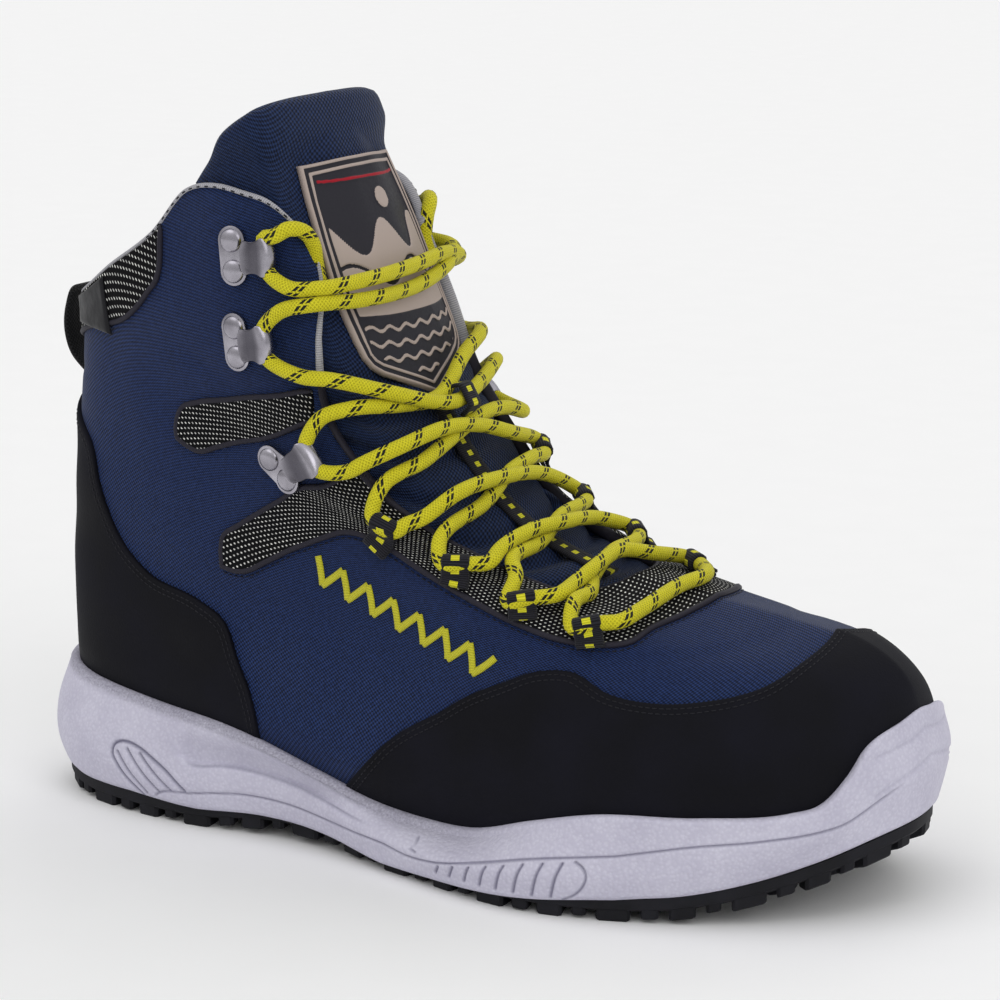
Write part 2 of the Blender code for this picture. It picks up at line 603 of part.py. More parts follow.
def insole_ring(inset, rise):
    points = []
    for side in (-1, 1):
        th = INSOLE_TAU if side < 0 else 2 - INSOLE_TAU
        run = last(th + .01, 0 * th) - last(th - .01, 0 * th)
        size = np.hypot(run[:, 0], run[:, 1])
        edge = last(th, 0 * th)
        edge[:, 0] -= run[:, 1] / size * inset
        edge[:, 1] += run[:, 0] / size * inset
        edge[:, 2] += rise
        points.append(edge)
    return np.concatenate([points[0], points[1][-2:0:-1]])


INSET = WALL + 5 * GAP
loft("insole", [insole_ring(INSET, GAP), insole_ring(INSET, .4 * FOOTBED), insole_ring(INSET + GAP, FOOTBED)],
     len(INSOLE_TAU), BLACK, .9)

# Outsole: a web whose underside has rows of lugs pushed down from its cells
pitch = LUG_LONG + LUG_GAP
first_x = SOLE[0][1] * LENGTH
last_x = SOLE[0][2] * LENGTH
borders = [first_x + 1.5]
while borders[-1] + pitch < last_x - 1.5:
    borders.append(borders[-1] + LUG_LONG)
    borders.append(borders[-1] + LUG_GAP)
borders.append(last_x - 1.5)
ACROSS = [-1, -.56, -.47, -.05, .05, .47, .56, 1]
CHEVRON = 7.0


def outsole_point(x, t, z):
    bend = CHEVRON * (1 - abs(t)) * min(1, (x - first_x) / 22, (last_x - x) / 30)
    xs = x + max(0, bend)
    tau = math.acos(max(-1, min(1, 1 - 2 * (xs - first_x) / (last_x - first_x)))) / math.pi
    low = float(sole_edge(0, tau, -1)[1])
    high = float(sole_edge(0, tau, 1)[1])
    return [xs, (low + high) / 2 + (high - low) / 2 * t, float(ground(xs)) + z]


stations = [first_x + .02] + borders + [last_x - .02]
verts = []
faces = []
low_ids = []
top_ids = []
for x in stations:
    low_ids.append([len(verts) + k for k in range(len(ACROSS))])
    verts += [outsole_point(x, t, LUG) for t in ACROSS]
    top_ids.append([len(verts), len(verts) + 1])
    verts += [outsole_point(x, t, LUG + PLATE) for t in (-1, 1)]
for i in range(len(stations) - 1):
    faces.append([top_ids[i][0], top_ids[i + 1][0], top_ids[i + 1][1], top_ids[i][1]])
    faces.append([top_ids[i][0], low_ids[i][0], low_ids[i + 1][0], top_ids[i + 1][0]])
    faces.append([top_ids[i][1], top_ids[i + 1][1], low_ids[i + 1][-1], low_ids[i][-1]])
    for j in range(len(ACROSS) - 1):
        cell = [low_ids[i][j], low_ids[i][j + 1], low_ids[i + 1][j + 1], low_ids[i + 1][j]]
        if i % 2 == 0 or j % 2 == 1:
            faces.append(cell)
            continue
        middle = sum(np.array(verts[v]) for v in cell) / 4
        tips = []
        for v in cell:
            tip = np.array(verts[v]) * .91 + middle * .09
            tip[2] = float(ground(tip[0]))
            tips.append(len(verts))
            verts.append(list(tip))
        faces.append(tips)
        faces += [[cell[k], cell[(k + 1) % 4], tips[(k + 1) % 4], tips[k]] for k in range(4)]
faces.append([top_ids[0][0], top_ids[0][1]] + list(reversed(low_ids[0])))
faces.append([top_ids[-1][1], top_ids[-1][0]] + low_ids[-1])
make("outsole", verts, faces, RUBBER, .6)


def frame_at(th, row, toward):
    """origin, forward, across and outward directions on the last"""
    origin = last(th, row)
    out = normal(th, row)
    ahead = toward - origin
    ahead = ahead - out * np.dot(ahead, out)
    ahead = ahead / np.linalg.norm(ahead)
    across = np.cross(out, ahead)
    if np.dot(across, last(th, row + .3) - origin) < 0:
        across = -across
    return origin, ahead, across, out


def ribbon(path, across, width, thick, outward):
    """closed band along a path; its thickness lies on the side that faces the outward point"""
    path = np.array(path)
    verts = []
    for k, p in enumerate(path):
        run = path[min(len(path) - 1, k + 1)] - path[max(0, k - 1)]
        side = np.cross(across, run)
        side = side / np.linalg.norm(side) * outward
        half = across * width / 2
        verts += [p - half, p + half, p + half + side * thick, p - half + side * thick]
    faces = [[3, 2, 1, 0], [len(verts) - 4 + c for c in range(4)]]
    for k in range(len(path) - 1):
        for c in range(4):
            faces.append([4 * k + c, 4 * k + (c + 1) % 4, 4 * k + 4 + (c + 1) % 4, 4 * k + 4 + c])
    return verts, faces


# Webbing loops: two plies on the eyestay, folded round the lace. SEATS keeps where the lace runs:
# centre, direction toward the collar, half width
SEATS = {}
FOLD = LACE_D / 2 + GAP
for name, fold_th, fold_row, tail_th, tail_row in LOOPS:
    tail = last(tail_th, tail_row)
    origin, ahead, across, out = frame_at(fold_th, fold_row, 2 * last(fold_th, fold_row) - tail)
    base = GAP + OVERLAY + 4 * GAP + WEB
    share = np.array([1, .45])
    ths = fold_th + (tail_th - fold_th) * share
    rows = fold_row + (tail_row - fold_row) * share
    path = list(skin(ths, rows, base + 0 * ths))
    middle = origin + out * (base + FOLD)
    for deg in (-90, -35, 20, 75, 125):
        a = math.radians(deg)
        path.append(middle + ahead * FOLD * math.cos(a) + out * FOLD * math.sin(a))
    path += list(skin(ths, rows, base + WEB + 2 * GAP + LACE_D * .35 * (1 - share)))[::-1]
    flip = 1 if np.dot(np.cross(across, ahead), out) < 0 else -1
    make(name, *ribbon(path, across, LOOP_WIDE, WEB, flip), BLACK, .8)
    SEATS[name] = (middle, across, LOOP_WIDE / 2)


def disc(cx, cy, radius, count):
    return [(cx + radius * math.cos(2 * math.pi * k / count), cy + radius * math.sin(2 * math.pi * k / count))
            for k in range(count)]


def prism(outline, origin, u, v, w, low, high):
    n = len(outline)
    verts = [origin + u * a + v * b + w * h for h in (low, high) for a, b in outline]
    faces = [list(reversed(range(n))), [n + k for k in range(n)]]
    faces += [[k, (k + 1) % n, n + (k + 1) % n, n + k] for k in range(n)]
    return verts, faces


# Hooks: plate under two rivets, folded out over the lace on the throat side
for name, rivet_a, rivet_b, seat in HOOKS:
    places = np.array([rivet_a, rivet_b, seat])
    mid = places.mean(0)
    origin, ahead, up, out = frame_at(mid[0], mid[1], last(*seat))
    ra, rb, rs = [(float(np.dot(last(*p) - origin, ahead)), float(np.dot(last(*p) - origin, up))) for p in places]
    low = places.min(0) - (.03, .2)
    high = places.max(0) + (.03, .2)
    spread_th, spread_row = np.meshgrid(np.linspace(low[0], high[0], 9), np.linspace(low[1], high[1], 9))
    clear = float(np.max((last(spread_th, spread_row) - origin) @ out)) + GAP
    if "lock" in name:
        clear += OVERLAY + GAP
    edge = RIVET_D / 2 + 1.7
    plate = []
    for (cx, cy), degs in ((ra, (30, 80, 130, 180, 215)), (rb, (145, 180, 230, 280, 330))):
        plate += [(cx + edge * math.cos(math.radians(d)), cy + edge * math.sin(math.radians(d))) for d in degs]
    half = HOOK_WIDE / 2
    plate += [(rs[0] - .5, rs[1] - half + .3), (rs[0] + 1, rs[1] - half), (rs[0] + 1, rs[1] + half), (rs[0] - .5, rs[1] + half - .3)]
    body = make(name, *prism(plate, origin, ahead, up, out, clear, clear + HOOK_PLATE), STEEL, .35, 1.0)
    for cx, cy in (ra, rb):
        rivet = prism(disc(cx, cy, RIVET_D / 2, 8), origin, ahead, up, out, clear + HOOK_PLATE / 2, clear + HOOK_PLATE + 1.4)
        combine(body, make("rivet", *rivet), "UNION")
    r = LACE_D / 2 + GAP
    middle = origin + ahead * (rs[0] + 1) + up * rs[1] + out * (clear + HOOK_PLATE + r)
    path = [middle - ahead * 2.5 - out * r]
    for deg in (-90, -50, -10, 30, 70, 115):
        a = math.radians(deg)
        path.append(middle + ahead * r * math.cos(a) + out * r * math.sin(a))
    flip = 1 if np.dot(np.cross(up, ahead), out) < 0 else -1
    combine(body, make("fold", *ribbon(path, up, HOOK_WIDE - .8, HOOK_PLATE - .2, flip)), "UNION")
    SEATS[name] = (middle, up, HOOK_WIDE / 2)


def tube(points, radius, sides=5):
    """closed round bar along points"""
    points = np.array(points)
    verts = []
    ref = None
    for k in range(len(points)):
        run = points[min(len(points) - 1, k + 1)] - points[max(0, k - 1)]
        run = run / np.linalg.norm(run)
        ref = np.cross(run, [0, 0, 1.0]) if ref is None else ref - run * np.dot(ref, run)
        ref = ref / np.linalg.norm(ref)
        other = np.cross(run, ref)
        for s in range(sides):
            a = 2 * math.pi * (s + .5) / sides
            verts.append(points[k] + radius * (ref * math.cos(a) + other * math.sin(a)))
    faces = [list(reversed(range(sides))), [len(verts) - sides + s for s in range(sides)]]
    for k in range(len(points) - 1):
        for s in range(sides):
            a = k * sides + s
            b = k * sides + (s + 1) % sides
            faces.append([a, b, b + sides, a + sides])
    return verts, faces


def seat_end(name, side):
    """two places where the lace leaves its seat straight"""
    middle, across, half = SEATS[name]
    straight = LACE_D * (1.45 if side > 0 else .6)
    return [middle + across * side * (half + 2 * GAP + run) for run in (0, straight)]


def places(rows):
    rows = np.array(rows)
    return list(skin(rows[:, 0], rows[:, 1], rows[:, 2] * LACE_D))


# Lace: crossings joined where they meet, clear of the loops and hooks that they run to
bodies = {}
for name, start, start_side, rows, end, end_side in STRANDS:
    points = seat_end(start, start_side) + places(rows) + seat_end(end, end_side)[::-1]
    strand = make(name if name not in bodies else name + "_over", *tube(points, LACE_D / 2), YELLOW, .7)
    if name in bodies:
        combine(bodies[name], strand, "UNION")
    bodies.setdefault(name, strand)
for name, start, rows in ENDS:
    make(name, *tube(seat_end(start, 1) + places(rows), LACE_D / 2), YELLOW, .7)

# Pull loop at the back of the collar and the plain label beside it
path = []
for row, share in PULL:
    point = last(0.0, row)
    path.append(np.array([point[0] - GAP - share * PULL_WIDE, 0, point[2]]))
make("pull_loop", *ribbon(path, np.array([0, 1.0, 0]), PULL_WIDE, 1.6, 1), BLACK, .85)

outline = Patch()
outline.grid([list(LABEL_TAU)] * 2, [[LABEL_ROW] * 4, [float(line(COLLAR, t)) - .1 for t in LABEL_TAU]])
cut(upper, "side_label", level(GAP + WEB), level(GAP), outline, BLACK)

# Origin under the middle of the boot's box, with the lace ends left out of it
bodies = [obj for obj in bpy.data.objects if obj.name not in [row[0] for row in ENDS]]
corners = np.concatenate([[v.co[:] for v in obj.data.vertices] for obj in bodies])
low = corners.min(0)
high = corners.max(0)
for obj in bpy.data.objects:
    for v in obj.data.vertices:
        v.co.x -= (low[0] + high[0]) / 2
        v.co.y -= (low[1] + high[1]) / 2
        v.co.z -= low[2]
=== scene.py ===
import math
import bpy
import bmesh
import numpy as np
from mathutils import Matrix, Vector


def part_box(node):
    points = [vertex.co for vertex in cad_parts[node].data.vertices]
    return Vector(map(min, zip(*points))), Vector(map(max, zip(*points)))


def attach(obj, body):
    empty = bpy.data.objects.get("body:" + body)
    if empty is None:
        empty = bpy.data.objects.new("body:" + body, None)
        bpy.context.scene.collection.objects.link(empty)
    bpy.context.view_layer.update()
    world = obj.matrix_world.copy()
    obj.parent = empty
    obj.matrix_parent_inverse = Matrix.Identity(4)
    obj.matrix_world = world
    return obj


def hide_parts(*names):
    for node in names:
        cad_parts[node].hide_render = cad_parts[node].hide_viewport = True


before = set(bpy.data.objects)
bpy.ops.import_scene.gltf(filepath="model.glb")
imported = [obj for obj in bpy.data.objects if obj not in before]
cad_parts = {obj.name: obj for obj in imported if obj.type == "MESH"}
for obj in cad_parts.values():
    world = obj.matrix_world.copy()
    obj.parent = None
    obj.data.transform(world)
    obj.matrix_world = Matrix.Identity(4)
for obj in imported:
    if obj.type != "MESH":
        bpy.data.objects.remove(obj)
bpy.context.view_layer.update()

# Camera
# A long lens a little over a metre from the boot, thirty degrees round from its outer side and slightly
# above it. The frame is shifted so that the boot stands low in it.
target = Vector((-.0064756, .0037046, 0))
azimuth = math.radians(30)
elevation = math.radians(18)
back = Vector((
    math.sin(azimuth) * math.cos(elevation),
    -math.cos(azimuth) * math.cos(elevation),
    math.sin(elevation),
))
camera = bpy.data.objects.new("camera", bpy.data.cameras.new("camera"))
bpy.context.scene.collection.objects.link(camera)
camera.location = target + back * 1.1
camera.rotation_euler = back.to_track_quat("Z", "Y").to_euler()
camera.data.lens = 122.4
camera.data.sensor_width = 36
camera.data.shift_x = .040
camera.data.shift_y = .329
bpy.context.scene.camera = camera


# Materials are mixed from sRGB hex values and built from single nodes
def hex_colour(code):
    values = [int(code[k:k + 2], 16) / 255 for k in (1, 3, 5)]
    return tuple(c / 12.92 if c <= .04045 else ((c + .055) / 1.055) ** 2.4 for c in values) + (1.0,)


def node(mat, kind, *inputs, at=None, **settings):
    """adds a node; inputs in order, or by name or number in at; a node given as a value is linked"""
    made = mat.node_tree.nodes.new("ShaderNode" + kind)
    for key, value in settings.items():
        setattr(made, key, value)
    wanted = dict(enumerate(inputs))
    wanted.update(at or {})
    for key, value in wanted.items():
        if value is None:
            continue
        if isinstance(value, bpy.types.Node):
            colour_mix = value.bl_idname == "ShaderNodeMix" and value.data_type == "RGBA"
            value = value.outputs[2 if colour_mix else 0]
        if isinstance(value, bpy.types.NodeSocket):
            mat.node_tree.links.new(value, made.inputs[key])
        else:
            made.inputs[key].default_value = hex_colour(value) if isinstance(value, str) else value
    return made


def finish_of(name, colour, rough, **sockets):
    """a material with the numbers that are the same all over it"""
    mat = bpy.data.materials.new(name)
    mat.use_nodes = True
    shader = mat.node_tree.nodes["Principled BSDF"]
    shader.inputs["Base Color"].default_value = hex_colour(colour)
    shader.inputs["Roughness"].default_value = rough
    for key, value in sockets.items():
        shader.inputs[key.replace("_", " ")].default_value = value
    return mat


def wear(mat, colour=None, rough=None, height=None, depth=0.0):
    """links colour, roughness and a relief of so many millimetres to the material's shader"""
    shader = mat.node_tree.nodes["Principled BSDF"]
    links = mat.node_tree.links
    for source, socket in ((colour, "Base Color"), (rough, "Roughness")):
        if source is not None:
            colour_mix = source.bl_idname == "ShaderNodeMix" and source.data_type == "RGBA"
            links.new(source.outputs[2 if colour_mix else 0], shader.inputs[socket])
    if height is not None:
        bump = node(mat, "Bump", at={"Strength": .8, "Distance": depth * .001, "Height": height})
        links.new(bump.outputs[0], shader.inputs["Normal"])


# Studio
# White card under a sky that is brightest overhead. A broad soft light comes from the upper left in front,
# and weaker ones come from the right and behind. None of it is part of the boot.
bpy.context.scene.view_settings.view_transform = "Standard"
card = finish_of("painted_card", "#fafafa", .95, Specular_IOR_Level=.1)
speckle = node(card, "TexNoise", at={"Vector": node(card, "TexCoord").outputs["Object"], "Scale": 40.0})
wear(card, colour=node(card, "Mix", speckle, at={6: "#f9f9f9", 7: "#fcfcfc"}, data_type="RGBA"))
bpy.ops.object.select_all(action="DESELECT")
bpy.ops.mesh.primitive_plane_add(size=9, location=(0, 0, 0))
floor = bpy.context.object
floor.name = "studio_floor"
floor.data.materials.append(card)
sky = bpy.data.worlds.new("studio_sky")
bpy.context.scene.world = sky
sky.use_nodes = True
sky.node_tree.nodes["Background"].inputs["Color"].default_value = (1, 1, 1, 1)
rise = node(sky, "SeparateXYZ", node(sky, "TexCoord").outputs["Generated"]).outputs[2]
sky_light = node(sky, "MapRange", rise, 0.0, .8, .48, .85)
sky.node_tree.links.new(sky_light.outputs[0], sky.node_tree.nodes["Background"].inputs["Strength"])
for name, place, soft, power in (
    ("light_key", (-1.0, -1.6, 2.6), 45, .34),
    ("light_fill", (1.8, -1.0, 1.2), 40, .42),
    ("light_back", (-.3, 1.6, 1.5), 30, .14),
):
    lamp = bpy.data.objects.new(name, bpy.data.lights.new(name, "SUN"))
    bpy.context.scene.collection.objects.link(lamp)
    lamp.location = place
    lamp.rotation_euler = (Vector(place) - Vector((0, 0, .09))).to_track_quat("Z", "Y").to_euler()
    lamp.data.angle = math.radians(soft)
    lamp.data.energy = power

# Upper
# Navy nylon closed round a last and lined with black knit: one loop below the throat, two quarters above
# it. Sizes are millimetres with the heel at x 0 and the lateral side on -y, until to_row().
LENGTH = 312.0
HEIGHT = 234.0
BALL = 106.0
WALL = 2.2
OUTSOLE_BACK = .0096 * LENGTH + .02
SHIFT = np.array([
    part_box("outsole")[0][0] * 1000 - OUTSOLE_BACK,
    (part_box("pull_loop")[0][1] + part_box("pull_loop")[1][1]) * 500,
    0.0,
])
# Loops of the last, low to high: back, front, z at six stations, half widths lateral and medial at five
LAST = np.array([
    [.0353, .9519, .1368, .1226, .0705, .0598, .0885, .1215, .189, .311, .406, .453, .264, .179, .292,
     .292, .396, .302],
    [.0288, .9728, .1923, .1795, .1325, .1218, .141, .1667, .208, .358, .467, .509, .302, .198, .33,
     .349, .443, .358],
    [.0272, .9744, .2479, .235, .1923, .1795, .2009, .2308, .208, .358, .453, .519, .311, .198, .34,
     .368, .453, .368],
    [.0272, .9583, .2991, .2863, .2436, .2265, .2564, .297, .208, .358, .434, .5, .321, .198, .34,
     .377, .443, .358],
    [.0288, .9135, .3504, .3376, .2991, .2735, .3077, .3376, .208, .349, .415, .472, .311, .198, .34,
     .377, .425, .33],
    [.0321, .8429, .4017, .3932, .3547, .3248, .3376, .359, .198, .349, .406, .415, .283, .198, .34,
     .377, .377, .283],
    [.0353, .766, .4487, .4402, .406, .3675, .359, .3739, .198, .34, .396, .396, .255, .198, .33, .377,
     .368, .274],
    [.0385, .6891, .4957, .4872, .453, .406, .3782, .3868, .189, .33, .387, .377, .226, .189, .321,
     .368, .358, .292],
    [.0417, .6186, .5427, .5342, .5, .4402, .4124, .4145, .189, .321, .377, .377, .255, .189, .311,
     .358, .358, .311],
    [.0449, .5545, .5897, .5812, .5513, .4786, .453, .4551, .179, .311, .368, .387, .264, .179, .302,
     .349, .368, .33],
    [.0481, .5, .6368, .6282, .6026, .5556, .5342, .5256, .17, .302, .368, .387, .292, .17, .292, .349,
     .377, .33],
    [.0513, .4583, .6838, .6752, .6538, .6282, .6154, .6111, .17, .302, .368, .387, .311, .17, .292,
     .358, .377, .33],
    [.0545, .4231, .735, .7308, .7222, .7179, .7137, .7137, .179, .311, .377, .387, .321, .179, .302,
     .368, .387, .33],
    [.0577, .391, .8034, .8034, .8077, .812, .8162, .8162, .179, .311, .377, .387, .321, .179, .302,
     .368, .377, .321],
    [.0609, .359, .8846, .8889, .9017, .9103, .9145, .9145, .179, .311, .377, .387, .311, .179, .302,
     .368, .368, .302],
    [.0641, .3333, .9744, .9829, .9957, 1, 1, 1, .179, .311, .377, .377, .302, .179, .302, .358, .349, .283],
]) * np.array([LENGTH] * 2 + [HEIGHT] * 6 + [BALL] * 10)
# Edges as places on the last. The first number runs from heel 0 to toe 1, the second is the loop.
# The throat has its own place on each side: loop, lateral, medial
THROAT = [
    (7.16, .846, .880), (7.85, .826, .877), (8.6, .814, .872), (9.3, .772, .860), (10.06, .738, .835),
    (10.9, .745, .820), (11.7, .792, .836), (12.4, .852, .865), (13.0, .868, .876),
]
COLLAR = [
    (0, 11.45), (.1, 11.5), (.2, 11.85), (.32, 12.47), (.45, 13.05), (.573, 13.69), (.649, 13.74),
    (.711, 13.65), (.822, 13.35), (.868, 13.0), (.88, 12.95),
]
# Creases and padding: place, reach each way, height, slant
RELIEF = [
    (.30, 9.6, .10, 1.1, .5, 0), (1.70, 9.6, .10, 1.1, .5, 0), (.60, 12.4, .05, .7, .35, 0),
    (1.40, 12.4, .05, .7, .35, 0),
    (.50, 10.9, .05, .28, -.45, -.6), (1.50, 10.9, .05, .28, -.45, .6), (.22, 8.1, .07, .22, -.4, .4),
    (1.78, 8.1, .07, .22, -.4, -.4), (.12, 9.4, .06, .2, -.35, .4), (1.88, 9.4, .06, .2, -.35, -.4),
    (.62, 4.95, .035, .22, -.5, -.6), (1.38, 4.95, .035, .22, -.5, .6), (.86, 4.95, .12, .16, -.45, 0),
    (1.14, 4.95, .12, .16, -.45, 0), (.93, 5.35, .10, .14, -.3, 0), (.44, 4.2, .05, .3, -.35, -.5),
    (1.56, 4.2, .05, .3, -.35, .5),
]


def hermite(xs, ys, x):
    """smooth curve through a table"""
    xs = np.asarray(xs, float)
    ys = np.asarray(ys, float)
    slope = np.gradient(ys, xs, axis=-1)
    x = np.asarray(x, float)
    i = np.clip(np.searchsorted(xs, x) - 1, 0, len(xs) - 2)
    span = xs[i + 1] - xs[i]
    u = (x - xs[i]) / span

    def pick(values, k):
        if values.ndim == 1:
            return values[k]
        return np.take_along_axis(values, k[..., None], -1)[..., 0]

    first = (1 + 2 * u) * (1 - u) ** 2 * pick(ys, i) + u * (1 - u) ** 2 * span * pick(slope, i)
    return first + u * u * (3 - 2 * u) * pick(ys, i + 1) + u * u * (u - 1) * span * pick(slope, i + 1)


def curve(table, x, column=1):
    """smooth curve through one column of a table over its first"""
    table = np.asarray(table, float)
    return hermite(table[:, 0], table[:, column], x)


def line(table, x, column=1):
    """straight lines through one column of a table over its first"""
    return np.interp(x, [row[0] for row in table], [row[column] for row in table])


def ease(x, low, high):
    """0 at low rising smoothly to 1 at high"""
    t = np.clip((np.asarray(x, float) - low) / (high - low), 0, 1)
    return t * t * (3 - 2 * t)


def unit(v):
    return v / np.linalg.norm(v, axis=-1, keepdims=True)


def centre(x):
    """y of the middle line of the sole"""
    table = ((0, 0), (.32, 0), (.64, .019), (.99, .057), (1.06, .066))
    return hermite([r[0] * LENGTH for r in table], [r[1] * BALL for r in table], x)


def last_side(tau, row, side):
    loops = np.arange(16)
    back_x = hermite(loops, LAST[:, 0], row)
    front_x = hermite(loops, LAST[:, 1], row)
    z_table = np.stack([hermite(loops, LAST[:, 2 + k], row) for k in range(6)], -1)
    first = 8 if side < 0 else 13
    zero = np.zeros_like(row)
    wide = np.stack([zero] + [hermite(loops, LAST[:, first + k], row) for k in range(5)] + [zero], -1)
    x = back_x + (front_x - back_x) * (1 - np.cos(np.pi * tau)) / 2
    y = side * hermite((0, .12, .3, .5, .7, .86, 1), wide, tau) + centre(x)
    return np.stack([x, y, hermite((0, .3, .5, .7, .86, 1), z_table, tau)], -1)


def last(th, row):
    """th runs 0 to 1 along the lateral side from heel to toe, and 1 to 2 back along the medial side"""
    th, row = np.broadcast_arrays(np.asarray(th, float) % 2, np.asarray(row, float))
    tau = np.where(th <= 1, th, 2 - th)
    return np.where((th <= 1)[..., None], last_side(tau, row, -1), last_side(tau, row, 1))


def normal(th, row):
    th, row = np.broadcast_arrays(np.asarray(th, float), np.asarray(row, float))
    along = last(th + .012, row) - last(th - .012, row)
    up = last(th, np.clip(row + .08, 0, 15)) - last(th, np.clip(row - .08, 0, 15))
    return unit(np.cross(along, up))


def skin(th, row, height=0.0):
    """place at a height over the creased upper"""
    th, row = np.broadcast_arrays(np.asarray(th, float), np.asarray(row, float))
    rise = np.zeros(th.shape) + height
    for t0, r0, along, across, amount, slant in RELIEF:
        dt = (th % 2 - t0) / along
        rise = rise + amount * np.exp(-dt ** 2 - ((row - r0 - slant * dt * across) / across) ** 2)
    return last(th, row) + normal(th, row) * rise[..., None]


# Millimetres along the loops and up them, so that a weave keeps its thread spacing
MAP = last(np.linspace(0, 2, 161)[:, None], np.linspace(0, 15, 76)[None, :])
AROUND = np.concatenate([np.zeros((1, 76)), np.cumsum(np.linalg.norm(np.diff(MAP, axis=0), axis=-1), axis=0)])
UPWARD = np.concatenate([
    np.zeros((161, 1)),
    np.cumsum(np.linalg.norm(np.diff(MAP, axis=1), axis=-1), axis=1),
], axis=1)


def cloth_place(th, row):
    a = np.clip(np.asarray(th, float) % 2.0000001 * 80, 0, 159.999)
    b = np.clip(np.asarray(row, float) * 5, 0, 74.999)
    i, j = a.astype(int), b.astype(int)
    fa, fb = a - i, b - j
    both = []
    for table in (AROUND, UPWARD):
        low = table[i, j] * (1 - fa) + table[i + 1, j] * fa
        high = table[i, j + 1] * (1 - fa) + table[i + 1, j + 1] * fa
        both.append(low * (1 - fb) + high * fb)
    return np.stack(both, -1)


def to_row(points):
    return (np.asarray(points, float) + SHIFT) * .001


def new_object(name, points, faces):
    """object whose mesh is given in millimetres"""
    mesh = bpy.data.meshes.new(name)
    places = to_row(np.asarray(points, float).reshape(-1, 3))
    mesh.from_pydata(places.tolist(), [], [tuple(int(k) for k in f) for f in faces])
    obj = bpy.data.objects.new(name, mesh)
    bpy.context.scene.collection.objects.link(obj)
    return obj


def choose(*objs):
    """selects only these, the first one active"""
    bpy.ops.object.select_all(action="DESELECT")
    for obj in objs:
        obj.select_set(True)
    bpy.context.view_layer.objects.active = objs[0]


def modify(obj, kind, **settings):
    """adds a modifier and applies it"""
    choose(obj)
    made = obj.modifiers.new(kind.lower(), kind)
    for key, value in settings.items():
        setattr(made, key, value)
    bpy.ops.object.modifier_apply(modifier=made.name)


def piece(name, verts, faces, uv, mat, slot, weld=0.0, wall=0.0, lining=None, smooth=True, marks=None):
    """finished piece riding on the boot; a wall thickens it inward and closes it"""
    obj = new_object(name, verts, faces)
    mesh = obj.data
    if uv is not None:
        corner = np.empty(len(mesh.loops), int)
        mesh.loops.foreach_get("vertex_index", corner)
        flat = np.asarray(uv, np.float32).reshape(-1, 2)[corner]
        mesh.uv_layers.new(name="UVMap").data.foreach_set("uv", flat.ravel())
    for key, values in (marks or {}).items():
        flat = np.asarray(values, np.float32).ravel()
        mesh.attributes.new(key, "FLOAT", "POINT").data.foreach_set("value", flat)
    mesh.polygons.foreach_set("use_smooth", [smooth] * len(mesh.polygons))
    mesh.materials.append(mat)
    if weld:
        bm = bmesh.new()
        bm.from_mesh(mesh)
        bmesh.ops.remove_doubles(bm, verts=bm.verts, dist=weld * .001)
        bm.to_mesh(mesh)
        bm.free()
    if lining:
        mesh.materials.append(lining)
    if wall:
        modify(obj, "SOLIDIFY", thickness=wall * .001, offset=-1, material_offset=1 if lining else 0)
    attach(obj, "root")
    return obj


def grid_faces(rows, cols, base=0, wrap=False):
    """faces of a grid of points; they look out where the columns run forward and the rows upward"""
    out = []
    for i in range(rows - 1):
        for j in range(cols if wrap else cols - 1):
            k = (j + 1) % cols
            low, high = base + i * cols, base + (i + 1) * cols
            out.append((low + j, low + k, high + k, high + j))
    return out


def flipped(faces):
    return [tuple(reversed(f)) for f in faces]


def joined(parts):
    """one set of points, faces and uv out of several"""
    verts, faces, uvs = [], [], []
    base = 0
    for v, f, uv in parts:
        verts.append(v)
        uvs.append(uv)
        faces += [tuple(k + base for k in face) for face in f]
        base += len(v)
    return np.concatenate(verts), faces, np.concatenate(uvs)


def sheet(th, row, height=0.0):
    """points, faces and uv of a grid of places on the upper"""
    return skin(th, row, height).reshape(-1, 3), grid_faces(*th.shape), cloth_place(th, row).reshape(-1, 2)


def throat(row, side):
    """edge of the slit as a place along the loop"""
    return curve(THROAT, row, 1 if side < 0 else 2)


def uv_axes(mat):
    """the coordinates along and across a cloth, in millimetres"""
    return node(mat, "SeparateXYZ", node(mat, "TexCoord").outputs["UV"]).outputs[:2]


def ripple(mat, along, rate):
    """a sine wave along a coordinate"""
    return node(mat, "Math", node(mat, "Math", along, rate, operation="MULTIPLY"), operation="SINE")


def weave(mat, repeat, slub_scale, crown):
    """relief, colours and soft blotches of a plain weave, its repeat in millimetres"""
    u, v = uv_axes(mat)
    turn = 2 * math.pi / repeat
    crossed = node(mat, "Math", ripple(mat, u, turn), ripple(mat, v, turn), operation="MULTIPLY")
    cloth = node(mat, "MapRange", crossed, -1.0, 1.0)
    place = node(mat, "TexCoord").outputs["Object"]
    slub = node(mat, "TexNoise", at={"Vector": place, "Scale": slub_scale, "Detail": 2.0})
    shade = node(mat, "TexNoise", at={"Vector": place, "Scale": 22.0, "Detail": 3.0})
    # The colour follows the weave: painted highlight on the thread crowns, painted shade in the gaps
    lit = node(mat, "Math", cloth, node(mat, "Math", slub, .6, operation="MULTIPLY"), operation="ADD")
    lit = node(mat, "MapRange", lit, .55, 1.2)
    return cloth, node(mat, "Mix", lit, at={6: "#060e23", 7: crown}, data_type="RGBA"), shade


def two_tone(mat, pattern, low, high, depth):
    """colours a material between two tones by a pattern, and raises it by the same pattern"""
    mixed = node(mat, "Mix", pattern, at={6: low, 7: high}, data_type="RGBA")
    wear(mat, colour=mixed, height=pattern, depth=depth)
